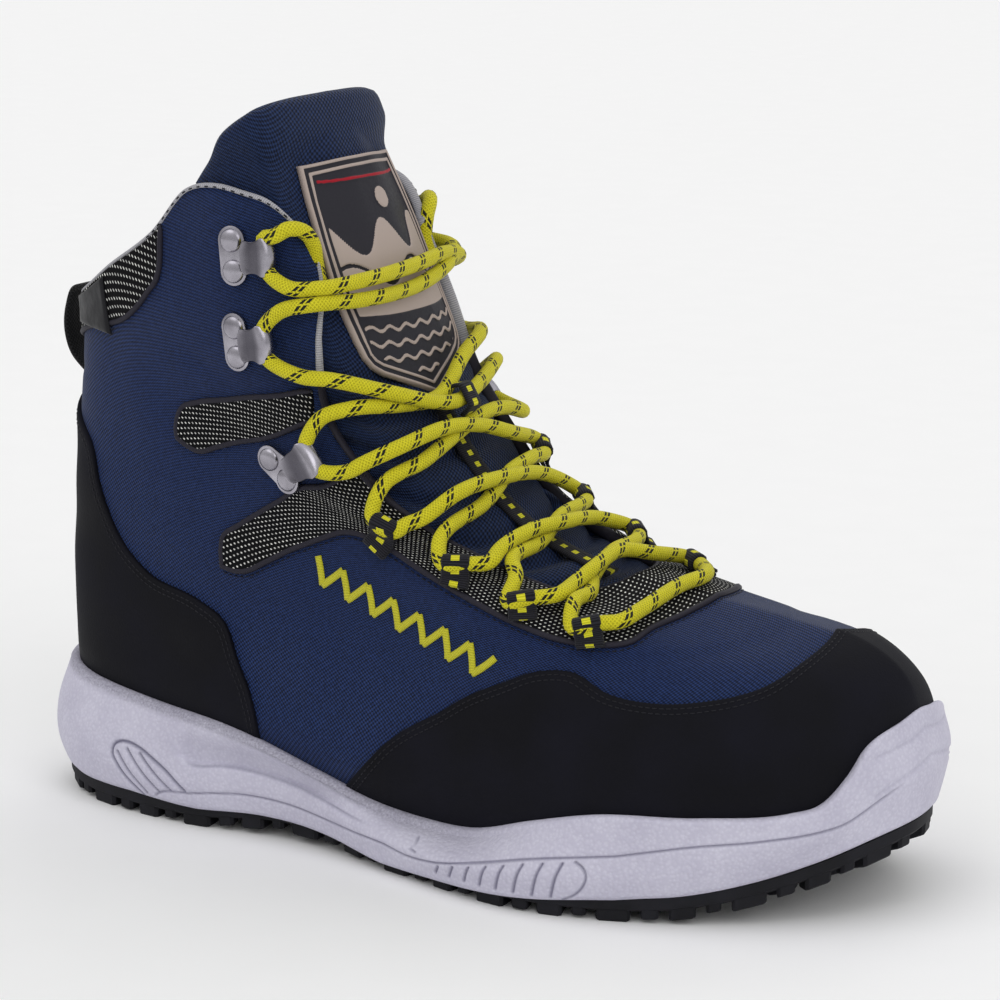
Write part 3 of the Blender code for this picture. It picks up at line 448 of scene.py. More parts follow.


# Nylon, 500 denier plain weave, dyed navy: the crowns of the threads carry a painted highlight, the gaps
# painted shade
# The weave is drawn with 1.45 mm to its repeat, about twice as coarse as the cloth, so that it shows
nylon = finish_of("woven_nylon_navy", "#1c2a4e", .62,
                  Sheen_Weight=.08, Sheen_Roughness=.4, Specular_IOR_Level=.14)
cloth, threads, shade = weave(nylon, 1.45, 900.0, "#263c70")
blotch = node(nylon, "MapRange", shade, .3, .75, 0.0, .3)
worn = node(nylon, "Mix", blotch, at={6: threads, 7: "#14234a"}, data_type="RGBA")
wear(nylon, colour=worn, rough=node(nylon, "MapRange", shade, .3, .7, .54, .72), height=cloth, depth=.34)

# Lining, black warp knit with a 1.6 mm rib
knit = finish_of("knitted_lining", "#131317", .85, Sheen_Weight=.1, Specular_IOR_Level=.1)
u, v = uv_axes(knit)
knots = node(knit, "Math", ripple(knit, u, 3.9), ripple(knit, v, 5.2), operation="ADD")
knots = node(knit, "MapRange", knots, -2.0, 2.0)
two_tone(knit, knots, "#0d0d10", "#1e1e24", .3)

LAT = np.linspace(0, THROAT[0][1], 80)
MED = np.linspace(0, THROAT[0][2], 80)
loop_th = np.concatenate([LAT, np.linspace(THROAT[0][1], 2 - THROAT[0][2], 30)[1:], (2 - MED)[::-1][1:]])
low, high = THROAT[0][0], THROAT[-1][0]
parts = [sheet(*np.meshgrid(loop_th, np.linspace(0, low, 44)))]
share = np.linspace(0, 1, 56)
levels = low + (high - low) * share
for side, taus in ((-1, LAT), (1, MED)):
    scale = throat(levels, side) / throat(low, side)
    th = scale[:, None] * taus[None, :]
    tops = curve(COLLAR, taus / taus[-1] * throat(high, side))
    row = low + (tops[None, :] - low) * share[:, None]
    row[:, -1] = levels
    if side > 0:
        th = (2 - th)[:, ::-1]
        row = row[:, ::-1]
    parts.append(sheet(th, row))
upper = piece("upper_quarters", *joined(parts), nylon, "upper_nylon", weld=.02, wall=WALL, lining=knit)
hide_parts("upper")

# Overlays
# Toe cap and heel counter are 1.4 mm coated microfibre, the panels round the laces and on the collar are
# spacer mesh. Each is stitched down on the nylon, and its cut edge rolls over onto it.
EDGE_ROLL = .8
RIM_LINE = [
    (0, 1.0), (.08, .92), (.19, .75), (.27, .68), (.38, .74), (.44, .48), (.48, .26), (.52, .2),
    (.56, .3), (.61, .85), (.66, 1.25), (.74, 1.34), (.82, 1.3), (.85, 1.38), (.88, 1.85), (.905, 2.3),
    (.96, 2.38), (1, 2.4),
]
CAP = [
    (.452, .3), (.475, 1.2), (.493, 1.84), (.53, 2.75), (.565, 3.47), (.61, 4.1), (.644, 4.46), (.687, 4.64),
    (.709, 4.24), (.739, 4.06), (.782, 3.97), (.845, 3.98), (.911, 4.2), (1, 4.4),
]
COUNTER = [
    (0, 8.6), (.06, 8.5), (.12, 8.1), (.185, 7.4), (.202, 6.29), (.229, 4.9), (.27, 4.1), (.329, 3.8),
    (.352, 3.48),
    (.361, 2.51), (.372, 1.7), (.377, 1.26), (.379, .7),
]
# Mesh panel round the laces: places on its outer and then its inner edge
EYESTAY = [
    (.372, 4.93, .379, 5.37), (.382, 4.91, .392, 5.86), (.395, 4.98, .420, 6.31), (.43, 5.48, .463, 6.95),
    (.467, 6.01, .51, 7.6),
    (.505, 6.48, .563, 8.33), (.542, 6.92, .62, 8.93), (.575, 7.28, .68, 9.42), (.600, 7.44, .728, 9.72),
    (.622, 7.36, .752, 9.5),
    (.64, 6.74, .788, 9.1), (.667, 6.06, .806, 8.6), (.688, 5.67, .816, 8.0), (.713, 5.39, .826, 7.5),
    (.741, 5.33, .838, 7.2),
    (.79, 5.42, .86, 7.16), (.848, 5.8, .90, 7.16), (.92, 6.0, .95, 7.16), (1, 6.03, 1, 7.16),
]
STRIPE = [
    (.388, 8.40, .391, 8.62), (.396, 8.30, .396, 8.80), (.417, 8.22, .418, 9.31), (.45, 8.5, .459, 9.69),
    (.49, 8.86, .52, 10.08),
    (.522, 9.14, .579, 10.46), (.59, 9.72, .65, 10.78), (.667, 10.29, .715, 11.0), (.705, 10.5, .733, 11.03),
]
TRIANGLE = [
    (0, 10.06), (.03, 10.07), (.12, 10.42), (.2, 10.78), (.342, 11.41), (.39, 11.82), (.427, 12.17),
    (.447, 12.34),
    (.462, 12.56), (.475, 12.91), (.486, 13.22),
]


def run_of(points):
    """distance along a path at each of its points"""
    return np.concatenate([[0], np.cumsum(np.linalg.norm(np.diff(points, axis=0), axis=-1))])


def smoothed(points, along, count):
    """evenly spaced points on a smooth curve, by the distances along it"""
    at = np.linspace(0, along[-1], count)
    return np.stack([hermite(along, column, at) for column in np.asarray(points, float).T], -1)


def curve_of(places, count):
    """smooth evenly spaced places through a list of places on the upper"""
    places = np.asarray(places, float)
    return smoothed(places, run_of(last(*places.T)), count)


def mirrored(places):
    """the same places on the other side"""
    return places * [-1, 1] + [2, 0]


def two_sides(places):
    """a curve from the lateral side over the toe or the slit to the medial side"""
    return np.concatenate([places, mirrored(places[:-1][::-1])])


def round_heel(places):
    """a curve from the medial side round the heel to the lateral side"""
    return np.concatenate([places[::-1] * [-1, 1], places[1:]])


def panel(name, low, high, rise, thick, mat, slot, across=10):
    """sheet between two curves of places, its rims rolled down onto the upper"""
    gap = np.maximum(np.linalg.norm(last(*low.T) - last(*high.T), axis=-1), 1.2)
    near = np.minimum(np.array([0, .12, .45, 1.0])[None, :] * EDGE_ROLL / gap[:, None], .45)
    mid = near[:, -1:] + (1 - 2 * near[:, -1:]) * np.linspace(0, 1, across)[None, 1:-1]
    share = np.concatenate([near, mid, 1 - near[:, ::-1]], 1)
    lift = np.array([-.3, .55, .88, 1.0])
    lift = np.concatenate([lift, np.ones(across - 2), lift[::-1]])[None, :] * np.ones((len(low), 1))
    run = run_of(last(*low.T))
    for end_far in (run, run[-1] - run):
        lift = np.minimum(lift, (-.3 + 1.3 * ease(end_far, -.3, EDGE_ROLL))[:, None])
    places = low[:, None] * (1 - share[..., None]) + high[:, None] * share[..., None]
    th, row = places[..., 0], places[..., 1]
    points = skin(th, row, np.where(lift < 0, lift, rise + thick * lift))
    return piece(name, points, flipped(grid_faces(*share.shape)), cloth_place(th, row), mat, slot, wall=.35)


# Microfibre coated with polyurethane: matt black, a fine leather grain, paler where it is rubbed
microfibre = finish_of("coated_microfibre_black", "#131318", .74, Specular_IOR_Level=.12)
place = node(microfibre, "TexCoord").outputs["Object"]
grain = node(microfibre, "TexVoronoi", at={"Vector": place, "Scale": 1500.0})
fine = node(microfibre, "TexNoise", at={"Vector": place, "Scale": 1200.0, "Detail": 4.0})
rub = node(microfibre, "TexNoise", at={"Vector": place, "Scale": 30.0, "Detail": 5.0})
rubbed = node(microfibre, "MapRange", rub, .4, .75, 0.0, .8)
wear(
    microfibre,
    colour=node(microfibre, "Mix", rubbed, at={6: "#0b0b11", 7: "#171721"}, data_type="RGBA"),
    rough=node(microfibre, "MapRange", rub, .3, .7, .62, .8),
    height=node(microfibre, "Math", grain, fine, operation="ADD"), depth=.07,
)
# Spacer mesh: black knit with a bright dot at every second hole, in staggered rows. It is drawn with 2.8 mm
# between the dots, coarser than the real one, so that they show
spacer = finish_of("spacer_mesh_dotted", "#101014", .78, Specular_IOR_Level=.1)
DOTS = 2.8
u, v = uv_axes(spacer)
far = []
for sign in (1.0, -1.0):
    slant = node(spacer, "Math", u, node(spacer, "Math", v, sign, operation="MULTIPLY"), operation="ADD")
    cell = node(spacer, "Math", slant, 1 / DOTS, operation="MULTIPLY")
    off = node(spacer, "Math", node(spacer, "Math", cell, operation="FRACT"), .5, operation="SUBTRACT")
    far.append(node(spacer, "Math", off, off, operation="MULTIPLY"))
ring = node(spacer, "Math", node(spacer, "Math", far[0], far[1], operation="ADD"), operation="SQRT")
dots = node(spacer, "MapRange", ring, .235, .15)
shine = node(spacer, "TexNoise", at={"Vector": node(spacer, "TexCoord").outputs["Object"], "Scale": 500.0})
shine = node(spacer, "MapRange", shine, .35, .65)
pale = node(spacer, "Mix", shine, at={6: "#b4b4b2", 7: "#f4f4ee"}, data_type="RGBA")
two_tone(spacer, dots, "#0b0b0e", pale, .3)

FINE = 150
for name, edge in (("toe_cap", CAP), ("heel_counter", COUNTER)):
    top = curve_of(edge, FINE)
    foot = np.stack([top[:, 0], np.minimum(line(RIM_LINE, top[:, 0]) - .25, top[:, 1] - .05)], -1)
    low, high = [two_sides(way) if edge is CAP else round_heel(way) for way in (foot, top)]
    cover = panel(name + "_cover", low, high, .25, 1.15, microfibre, "synthetic_leather", across=26)
    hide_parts(name)


def lace_panel(count):
    """outer and inner edge of the panel's lateral half"""
    rows = np.asarray(EYESTAY)
    both = smoothed(rows, run_of(last(*rows[:, :2].T)), count)
    return both[:, :2], both[:, 2:]


low, high = [two_sides(way) for way in lace_panel(FINE)]
# The medial edge of the slit lies nearer the middle
slit_row = np.maximum(high[:, 1], THROAT[0][0])
nearer = np.maximum(throat(slit_row, 1) - throat(slit_row, -1), 0)
share = ease(low[:, 1], 7.6, 6.9) * ease(2 - high[:, 0], .70, .74)
high[:, 0] -= np.where(high[:, 0] > 1, nearer * share, 0)
eyestay = panel("lace_panel", low, high, .15, .9, spacer, "mesh_panel", across=16)
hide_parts("eyestay")
rows = np.asarray(STRIPE)
stripe_low, stripe_high = curve_of(rows[:, :2], 70), curve_of(rows[:, 2:], 70)
triangle = round_heel(curve_of(TRIANGLE, 70))
crown = np.maximum(curve(COLLAR, np.abs(triangle[:, 0])) - .03, triangle[:, 1] + .03)
crown = np.stack([triangle[:, 0], crown], -1)
panel("collar_mesh", triangle, crown, .1, .8, spacer, "mesh_panel", across=14)
panel("mesh_stripe_lateral", stripe_low, stripe_high, .15, .8, spacer, "mesh_panel")
low, high = mirrored(stripe_low[::-1]), mirrored(stripe_high[::-1])
panel("mesh_stripe_medial", low, high, .15, .8, spacer, "mesh_panel")

# Piping and seams
# Folded polyurethane piping edges each mesh panel; grey tape binds the collar and the top of the slit. The
# seams are bonded polyester thread: two rows on the toe cap and counter, one beside the lace panel.
piping_skin = finish_of("polyurethane_piping", "#23212b", .58, Specular_IOR_Level=.2)
place = node(piping_skin, "TexCoord").outputs["Object"]
grain = node(piping_skin, "TexNoise", at={"Vector": place, "Scale": 1800.0, "Detail": 3.0})
two_tone(piping_skin, grain, "#1d1b24", "#2b2934", .05)
tape = finish_of("grey_binding_tape", "#a6a5aa", .74, Sheen_Weight=.1, Specular_IOR_Level=.2)
fibre = node(tape, "MapRange", ripple(tape, uv_axes(tape)[0], 9.0), -1.0, 1.0)
two_tone(tape, fibre, "#8d8c92", "#b6b5ba", .08)
thread = finish_of("bonded_thread_black", "#101014", .5, Specular_IOR_Level=.2)
twist = node(thread, "TexWave", at={"Vector": node(thread, "TexCoord").outputs["Object"], "Scale": 900.0})
two_tone(thread, twist, "#0d0d11", "#26262d", .05)


def heading(points):
    """direction of a path at each of its points"""
    return unit(np.gradient(points, axis=0))


def square_to(v, run):
    """direction of v made square to another direction"""
    return unit(v - run * np.sum(v * run, axis=-1, keepdims=True))


def tube_faces(rows, n, wrap=True):
    """side and end faces of n points repeated along a path"""
    last_row = (rows - 1) * n
    return grid_faces(rows, n, wrap=wrap) + [tuple(reversed(range(n))), tuple(last_row + k for k in range(n))]


def sweep(points, section, outward, scale=None):
    """points, faces and uv of a closed section of side and outward pairs drawn along a path"""
    run = heading(points)
    up = square_to(outward, run)
    side = np.cross(run, up)
    grow = np.ones(len(points)) if scale is None else np.asarray(scale, float)
    ring = side[:, None] * section[None, :, :1] + up[:, None] * section[None, :, 1:]
    verts = points[:, None] + ring * grow[:, None, None]
    uv = np.stack(np.broadcast_arrays(run_of(points)[:, None], run_of(section)[None, :]), -1)
    return verts.reshape(-1, 3), tube_faces(len(points), len(section)), uv.reshape(-1, 2)


def oval(wide, high, count):
    a = np.linspace(0, 2 * np.pi, count, endpoint=False)
    return np.stack([np.cos(a) * wide, np.sin(a) * high], -1)


def trim(places, section, height, scale=None):
    """a section drawn along places on the upper"""
    return sweep(skin(*places.T, height), section, normal(*places.T), scale)


def bead(places, wide, high, rise):
    """round piping with tapered ends"""
    taper = ease(np.minimum(np.arange(len(places)), np.arange(len(places))[::-1]), -1.0, 2.0)
    return trim(places, oval(wide, high, 8), rise, taper)


def aside(places, shift):
    """the same curve moved over the upper by so many millimetres, to the left of its run"""
    th, row = places.T
    left = np.cross(normal(th, row), heading(last(th, row))) * shift
    per_th = (last(th + .004, row) - last(th - .004, row)) / .008
    per_row = (last(th, row + .04) - last(th, row - .04)) / .08
    a, b, c = np.sum(per_th ** 2, 1), np.sum(per_th * per_row, 1), np.sum(per_row ** 2, 1)
    p, q = np.sum(left * per_th, 1), np.sum(left * per_row, 1)
    det = a * c - b * b
    return places + np.stack([(p * c - q * b) / det, (q * a - p * b) / det], -1)


def between(points, along, at):
    """points at given distances along a path"""
    return np.stack([np.interp(at, along, column) for column in points.T], -1)


def stitches(places, pitch, long, thick, rise):
    """a seam: short rounded threads laid end to end along places on the upper"""
    points = skin(*places.T, rise)
    out = normal(*places.T)
    along = run_of(points)
    dip = np.array([-thick * .9, -.1 * thick, 0, -.1 * thick, -thick * .9])
    parts = []
    for start in np.arange(pitch * .5, along[-1] - pitch * .5, pitch):
        at = start + np.array([-.5, -.3, 0, .3, .5]) * long
        p, n = between(points, along, at), between(out, along, at)
        parts.append(sweep(p + n * dip[:, None], oval(thick / 2, thick / 2, 5), n, [.5, .95, 1, .95, .5]))
    return joined(parts)


outline_low, outline_high = lace_panel(200)
outer = two_sides(outline_low)
end = curve_of([outline_low[0], outline_high[0]], 8)
inner = np.concatenate([outline_high[:110][::-1], end[::-1][1:], outline_low[:4][1:]])
loop = np.concatenate([stripe_high[::-1], curve_of([stripe_high[0], stripe_low[0]], 6)[1:-1], stripe_low])
cords = [bead(way, 1.0, .95, .55) for way in (outer, inner, mirrored(inner)[::-1])]
cords += [bead(way, .95, .9, .5) for way in (loop, mirrored(loop[::-1]), triangle)]
piece("panel_piping", *joined(cords), piping_skin, "synthetic_leather")

seams = []
for run in (two_sides(curve_of(CAP, 200)), round_heel(curve_of(COUNTER, 200))):
    for shift in (1.7, 3.3):
        seams.append(stitches(aside(run, -shift), 2.1, 1.7, .42, 1.45))
seams.append(stitches(aside(outer, -1.9), 2.2, 1.6, .4, .12))
piece("upper_seams", *joined(seams), thread, "synthetic_leather")

# Binding along the collar and both edges of the slit: grey tape above, black piping below the top hooks
GREY_DOWN_TO = 11.15
binding = []
black_edge = []
nicks = []
round_edge = oval(.8, WALL / 2 + .55, 10)
for side in (-1, 1):
    taus = np.linspace(0, THROAT[-1][1 if side < 0 else 2], 120)
    rim = np.stack([taus, curve(COLLAR, taus)], -1)
    spans = ((THROAT[-1][0], GREY_DOWN_TO, 50), (GREY_DOWN_TO, THROAT[0][0], 60))
    slit, low_slit = [np.stack([throat(np.linspace(*span), side), np.linspace(*span)], -1) for span in spans]
    if side > 0:
        rim, slit, low_slit = [mirrored(way) for way in (rim, slit, low_slit)]
    run = np.concatenate([rim, slit[1:]])
    wide = 1.0 + .5 * ease(np.arange(len(run)), 120, 150)
    binding.append(trim(run, round_edge, -WALL / 2, wide ** .5))
    black_edge.append(trim(low_slit, round_edge, -WALL / 2, np.full(60, 1.24)))
    nicks.append(stitches(aside(rim[60:], .15 * side), 3.1, 1.5, .5, .55))
front = np.linspace(THROAT[0][1], 2 - THROAT[0][2], 40)
run = np.stack([front, np.full(40, THROAT[0][0])], -1)
black_edge.append(trim(run, round_edge, -WALL / 2, np.full(40, 1.22)))
piece("collar_binding", *joined(binding), tape, "webbing")
piece("throat_piping", *joined(black_edge), piping_skin, "synthetic_leather")
piece("binding_stitches", *joined(nicks), thread, "webbing")

# Tongue
# Foam up to 8 mm thick in navy ballistic nylon, coarser than the quarters. It is sewn across into soft
# channels under the laces, and stands over the collar as a padded flap with a rolled top edge.
TONGUE_SIDE = [
    (0, .88, .90), (.08, .80, .84), (.18, .745, .80), (.3, .70, .77), (.42, .665, .74), (.55, .64, .71),
    (.68, .62, .68),
    (.8, .60, .64), (.9, .575, .60), (1, .566, .58),
]
TONGUE_FRONT = 6.5
TONGUE_TOP = [(0, 14.95), (.2, 14.92), (.45, 14.75), (.7, 14.45), (.85, 14.1), (.94, 13.9), (1, 13.75)]
CHANNELS = (7.6, 8.2, 8.85, 9.5, 10.15, 10.75, 11.3)


def tongue_face(th, row):
    """depth of the tongue's face under the quarters; it comes up level above them"""
    tau = np.where(np.asarray(th) <= 1, th, 2 - np.asarray(th))
    edge = np.where(np.asarray(th) <= 1, line(THROAT, row, 1), line(THROAT, row, 2))
    bare = np.clip((tau - edge - .03) / .08, 0, 1) * np.clip((row - 11.0) / 1.5, 0, 1)
    rise = np.maximum(bare, np.clip((row - 13.95) / .5, 0, 1))
    deep = WALL + 1.5
    return -deep + deep * rise * rise * (3 - 2 * rise)


ballistic = finish_of("ballistic_nylon_navy", "#1b294d", .6,
                      Sheen_Weight=.08, Sheen_Roughness=.4, Specular_IOR_Level=.14)
# Drawn with 1.8 mm to its repeat, coarser than the cloth, so that it shows
# As on the quarters, the thread crowns carry a painted highlight and the gaps painted shade
cloth, threads, shade = weave(ballistic, 1.8, 800.0, "#243760")
wear(ballistic, colour=threads,
     rough=node(ballistic, "MapRange", shade, .3, .7, .54, .72), height=cloth, depth=.42)

along = np.linspace(0, 1, 150)
faces_of = []
for side in (-1, 1):
    column = 1 if side < 0 else 2
    across = np.linspace(1, 0, 44)
    width = 1 - curve(TONGUE_SIDE, along, column)
    tau = 1 - width[:, None] * across[None, :]
    top = curve(TONGUE_TOP, across)
    row = TONGUE_FRONT + along[:, None] * (top[None, :] - TONGUE_FRONT)
    if side < 0:
        faces_of.append((tau, row))
    else:
        faces_of.append(((2 - tau)[:, ::-1][:, 1:], row[:, ::-1][:, 1:]))
th = np.concatenate([f[0] for f in faces_of], 1)
row = np.concatenate([f[1] for f in faces_of], 1)
edge_far = np.minimum(np.arange(th.shape[1]), np.arange(th.shape[1])[::-1])[None, :] * 1.3
top_far = (1 - along)[:, None] * 135
rounding = np.clip(np.minimum(edge_far, top_far) / 3.2, 0, 1)
rounding = np.sqrt(1 - (1 - rounding) ** 2)
puff = np.zeros_like(th)
open_part = ease(row, 6.9, 7.4) * ease(row, 11.7, 11.2)
for c in CHANNELS:
    puff -= 2.4 * np.exp(-((row - c) / .13) ** 2) * open_part
puff += 1.0 * open_part
face = tongue_face(th, row)
outer_face = skin(th, row, face + puff - (1 - rounding) * 2.2)
tau = np.where(th <= 1, th, 2 - th)
middle = 1 - np.clip((1 - tau) / .40, 0, 1) ** 2
ends = np.clip((row - TONGUE_FRONT) / 2.0, 0, 1) * np.clip((15.2 - row) / .8, .35, 1)
inner_face = skin(th, row, face - WALL - (4.6 * middle * ends) * rounding - .4)
rows_n, cols_n = th.shape
count = rows_n * cols_n
faces = grid_faces(rows_n, cols_n) + flipped(grid_faces(rows_n, cols_n, base=count))
rim = list(range(cols_n)) + [i * cols_n + cols_n - 1 for i in range(1, rows_n)]
rim += [(rows_n - 1) * cols_n + j for j in range(cols_n - 2, -1, -1)]
rim += [i * cols_n for i in range(rows_n - 2, 0, -1)]
for k in range(len(rim)):
    a, b = rim[k], rim[(k + 1) % len(rim)]
    faces.append((b, a, a + count, b + count))
uv = cloth_place(th, row).reshape(-1, 2)
both_faces = np.concatenate([outer_face.reshape(-1, 3), inner_face.reshape(-1, 3)])
tongue = piece("tongue_padded", both_faces, faces, np.concatenate([uv, uv]), ballistic, "tongue_nylon")
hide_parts("tongue")

# Centre strip
# Black polyester webbing with a row of bright woven dashes, drawn with coarser ribs than the real one so
# that they show. A strip of it is sewn down the middle of the tongue.
WEB = 1.1
webbing = finish_of("polyester_webbing_dashed", "#1d1d22", .8, Sheen_Weight=.08, Specular_IOR_Level=.12)
u, v = uv_axes(webbing)
rib = node(webbing, "MapRange", ripple(webbing, u, 9.5), -1.0, 1.0)
mid = node(webbing, "Math", node(webbing, "Math", v, operation="ABSOLUTE"), 1.3, operation="LESS_THAN")
turned = node(webbing, "Math", node(webbing, "Math", u, 1 / 4.3, operation="MULTIPLY"), operation="FRACT")
dash = node(webbing, "Math", turned, .42, operation="LESS_THAN")
dash = node(webbing, "Math", dash, mid, operation="MULTIPLY")
base = node(webbing, "Mix", rib, at={6: "#121216", 7: "#2a2a31"}, data_type="RGBA")
bright = node(webbing, "Mix", rib, at={6: "#b9b418", 7: "#e4df3a"}, data_type="RGBA")
wear(webbing, colour=node(webbing, "Mix", dash, at={6: base, 7: bright}, data_type="RGBA"),
     height=rib, depth=.14)


def band(points, width, thick, across):
    """webbing along a path, facing outward; its v is 0 in the middle, where the dashes lie"""
    half = width / 2
    r = thick / 2
    section = np.array([
        (-half + r, -r), (-half * .4, -r), (half * .4, -r), (half - r, -r), (half, 0),
        (half - r, r), (half * .4, r), (-half * .4, r), (-half + r, r), (-half, 0),
    ])
    points = np.asarray(points, float)
    run = heading(points)
    across = square_to(across * np.ones_like(points), run)
    up = np.cross(across, run)
    verts = points[:, None] + across[:, None] * section[None, :, :1] + up[:, None] * section[None, :, 1:]
    verts = verts.reshape(-1, 3)
    uv = np.stack(np.broadcast_arrays(run_of(points)[:, None], section[None, :, 0]), -1)
    faces = flipped(tube_faces(len(points), len(section)))
    volume = 0.0
    for f in faces:
        for k in range(1, len(f) - 1):
            volume += np.dot(verts[f[0]], np.cross(verts[f[k]], verts[f[k + 1]]))
    return verts, faces if volume > 0 else flipped(faces), uv.reshape(-1, 2)


def tongue_across(rows):
    """direction across the middle of the tongue"""
    return last(1.03, rows) - last(.97, rows)


rows = np.linspace(7.5, 10.95, 90)
path = skin(1, rows, tongue_face(1, rows) + 1.4)
strip = piece("tongue_strip", *band(path, 9.0, 1.2, tongue_across(rows)), webbing, "webbing")
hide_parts("tongue_webbing")

# Badge
# Injected rubber patch, 2 mm thick, charcoal with raised beige lines: a double border and, inside it, a
# plain design of hills over water with a thin red horizon.
BADGE_EDGE = [
    (10.99, .004), (11.10, .030), (11.2, .055), (11.33, .088), (11.42, .102), (11.55, .1115), (11.75, .1155),
    (12.0, .117),
    (12.5, .116), (13.0, .113), (13.5, .109), (13.96, .103),
]
badge_rows = np.concatenate([np.linspace(10.99, 11.6, 60), np.linspace(11.6, 13.96, 180)[1:]])
badge_half = line(BADGE_EDGE, badge_rows)
share = np.linspace(-1, 1, 124)
share = np.sign(share) * (1 - (1 - np.abs(share)) ** 1.15)
th = 1 + badge_half[:, None] * share[None, :]
row = badge_rows[:, None] + 0 * th
flat = cloth_place(th, row)
mid_x = cloth_place(1.0 + 0 * row, row)[..., 0]
px, py = flat[..., 0] - mid_x, flat[..., 1]
edge_line = np.concatenate([
    np.stack([px[:, 0], py[:, 0]], -1)[::-1], np.stack([px[0, :], py[0, :]], -1)[1:],
    np.stack([px[:, -1], py[:, -1]], -1)[1:], np.stack([px[-1, :], py[-1, :]], -1)[::-1][1:],
])


def away(a, h, way):
    """distance in a plane from places to a line through a list of points"""
    way = np.asarray(way, float)
    best = np.full(np.broadcast(a, h).shape, 1e9)
    for p, q in zip(way[:-1], way[1:]):
        d = q - p
        t = np.clip(((a - p[0]) * d[0] + (h - p[1]) * d[1]) / max(float(d @ d), 1e-12), 0, 1)
        best = np.minimum(best, np.hypot(a - p[0] - t * d[0], h - p[1] - t * d[1]))
    return best


def stripe(distance, low, high, soft=.16):
    """1 between two distances, with soft edges"""
    return ease(distance, low - soft, low + soft) * ease(distance, high + soft, high - soft)


near = away(px, py, edge_line)
base_y = py.min()
tall = py.max() - base_y
inside = ease(near, 4.7, 5.1)
border = np.maximum(stripe(near, -.5, 1.25), stripe(near, 2.75, 3.7))
hill_far = (py - base_y - tall * (.66 + .07 * np.cos(px * .26 + .6))) * .92
hill_near = py - base_y - tall * (.50 + .045 * np.cos(px * .22 - 1.6))
sea_line = ease(py, base_y + tall * .335, base_y + tall * .345)
hills = ease(hill_far, .12, -.12) * ease(hill_near, 1.1, 1.4)
hills = np.maximum(hills, ease(hill_near, .12, -.12) * sea_line)
waves = 0 * px
for k in range(4):
    level = base_y + tall * (.285 - .062 * k)
    waves = np.maximum(waves, stripe(py - level - .75 * np.sin(px * .75 + k * 1.4), -.55, .55))
sun = stripe(np.hypot(px - 3.0, py - (base_y + tall * .81)), -1, 3.4)
raised = np.maximum(border, inside * np.maximum(np.maximum(hills, waves), sun))
red = inside * stripe(py - (base_y + tall * .905), -.45, .45)
rise = 1.35 + .55 * np.maximum(raised, red)
rise = rise * np.sqrt(np.clip(1 - (1 - np.clip(near / .7, 0, 1)) ** 2, 0, 1)) + .15
patch = finish_of("injected_rubber_charcoal", "#2b2a31", .55, Specular_IOR_Level=.2)
place = node(patch, "TexCoord").outputs["Object"]
grain = node(patch, "TexNoise", at={"Vector": place, "Scale": 1200.0, "Detail": 3.0})
beige = node(patch, "MapRange", node(patch, "Attribute", attribute_name="beige").outputs["Fac"], .4, .6)
scarlet = node(patch, "MapRange", node(patch, "Attribute", attribute_name="scarlet").outputs["Fac"], .4, .6)
lines_on = node(patch, "Mix", beige, at={6: "#29282f", 7: "#b0a199"}, data_type="RGBA")
wear(patch, colour=node(patch, "Mix", scarlet, at={6: lines_on, 7: "#a01426"}, data_type="RGBA"),
     rough=node(patch, "MapRange", grain, .3, .7, .48, .62), height=grain, depth=.03)
points = skin(th, row, tongue_face(th, row) + .3 + rise)
badge = piece("tongue_badge_patch", points, grid_faces(*th.shape), None, patch, "badge_rubber", wall=.9,
              marks={"beige": raised, "scarlet": red})
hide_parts("tongue_badge")

# Lace loops
# Eight short lengths of the same webbing, 8.6 mm wide, are folded over the lace and sewn into the panel
# round the slit, their two ends lying on each other.
LACE_D = 4.8
OVERLAY = 1.4
FOLD = LACE_D / 2 + .15
LOOPS = [
    ("loop_lateral_1", .698, 8.50, .600, 7.0), ("loop_lateral_2", .703, 7.16, .66, 6.42),
    ("loop_lateral_3", .723, 6.24, .70, 5.8), ("loop_lateral_4", .760, 5.66, .735, 5.2),
    ("loop_medial_1", 1.140, 9.60, 1.172, 9.28), ("loop_medial_2", 1.14, 8.62, 1.185, 8.15),
    ("loop_medial_3", 1.125, 7.63, 1.165, 7.15), ("loop_medial_4", 1.115, 6.62, 1.15, 6.25),
]
SEATS = {}
for name, fold_th, fold_row, tail_th, tail_row in LOOPS:
    origin = last(fold_th, fold_row)
    tail = last(tail_th, tail_row)
    out = normal(fold_th, fold_row)
    ahead = square_to(origin - tail, out)
    across = np.cross(out, ahead)
    if np.dot(across, last(fold_th, fold_row + .3) - origin) < 0:
        across = -across
    share = np.linspace(1, .12, 8)
    ths = fold_th + (tail_th - fold_th) * share
    rows = fold_row + (tail_row - fold_row) * share
    low = OVERLAY + WEB / 2
    path = list(skin(ths, rows, low + 0 * ths))
    middle = origin + out * (low + FOLD)
    for deg in np.linspace(-90, 118, 15):
        a = math.radians(deg)
        path.append(middle + (ahead * math.cos(a) + out * math.sin(a)) * FOLD)
    back_share = np.linspace(.22, 1, 8)
    ths = fold_th + (tail_th - fold_th) * back_share
    rows = fold_row + (tail_row - fold_row) * back_share
    top = low + WEB + .15 + (2 * FOLD - WEB) * ease(back_share, .62, -.05)
    path += list(skin(ths, rows, top))
    loop_obj = piece(name + "_web", *band(path, 8.6, WEB, across), webbing, "webbing")
    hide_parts(name)
    SEATS[name] = (middle, across)

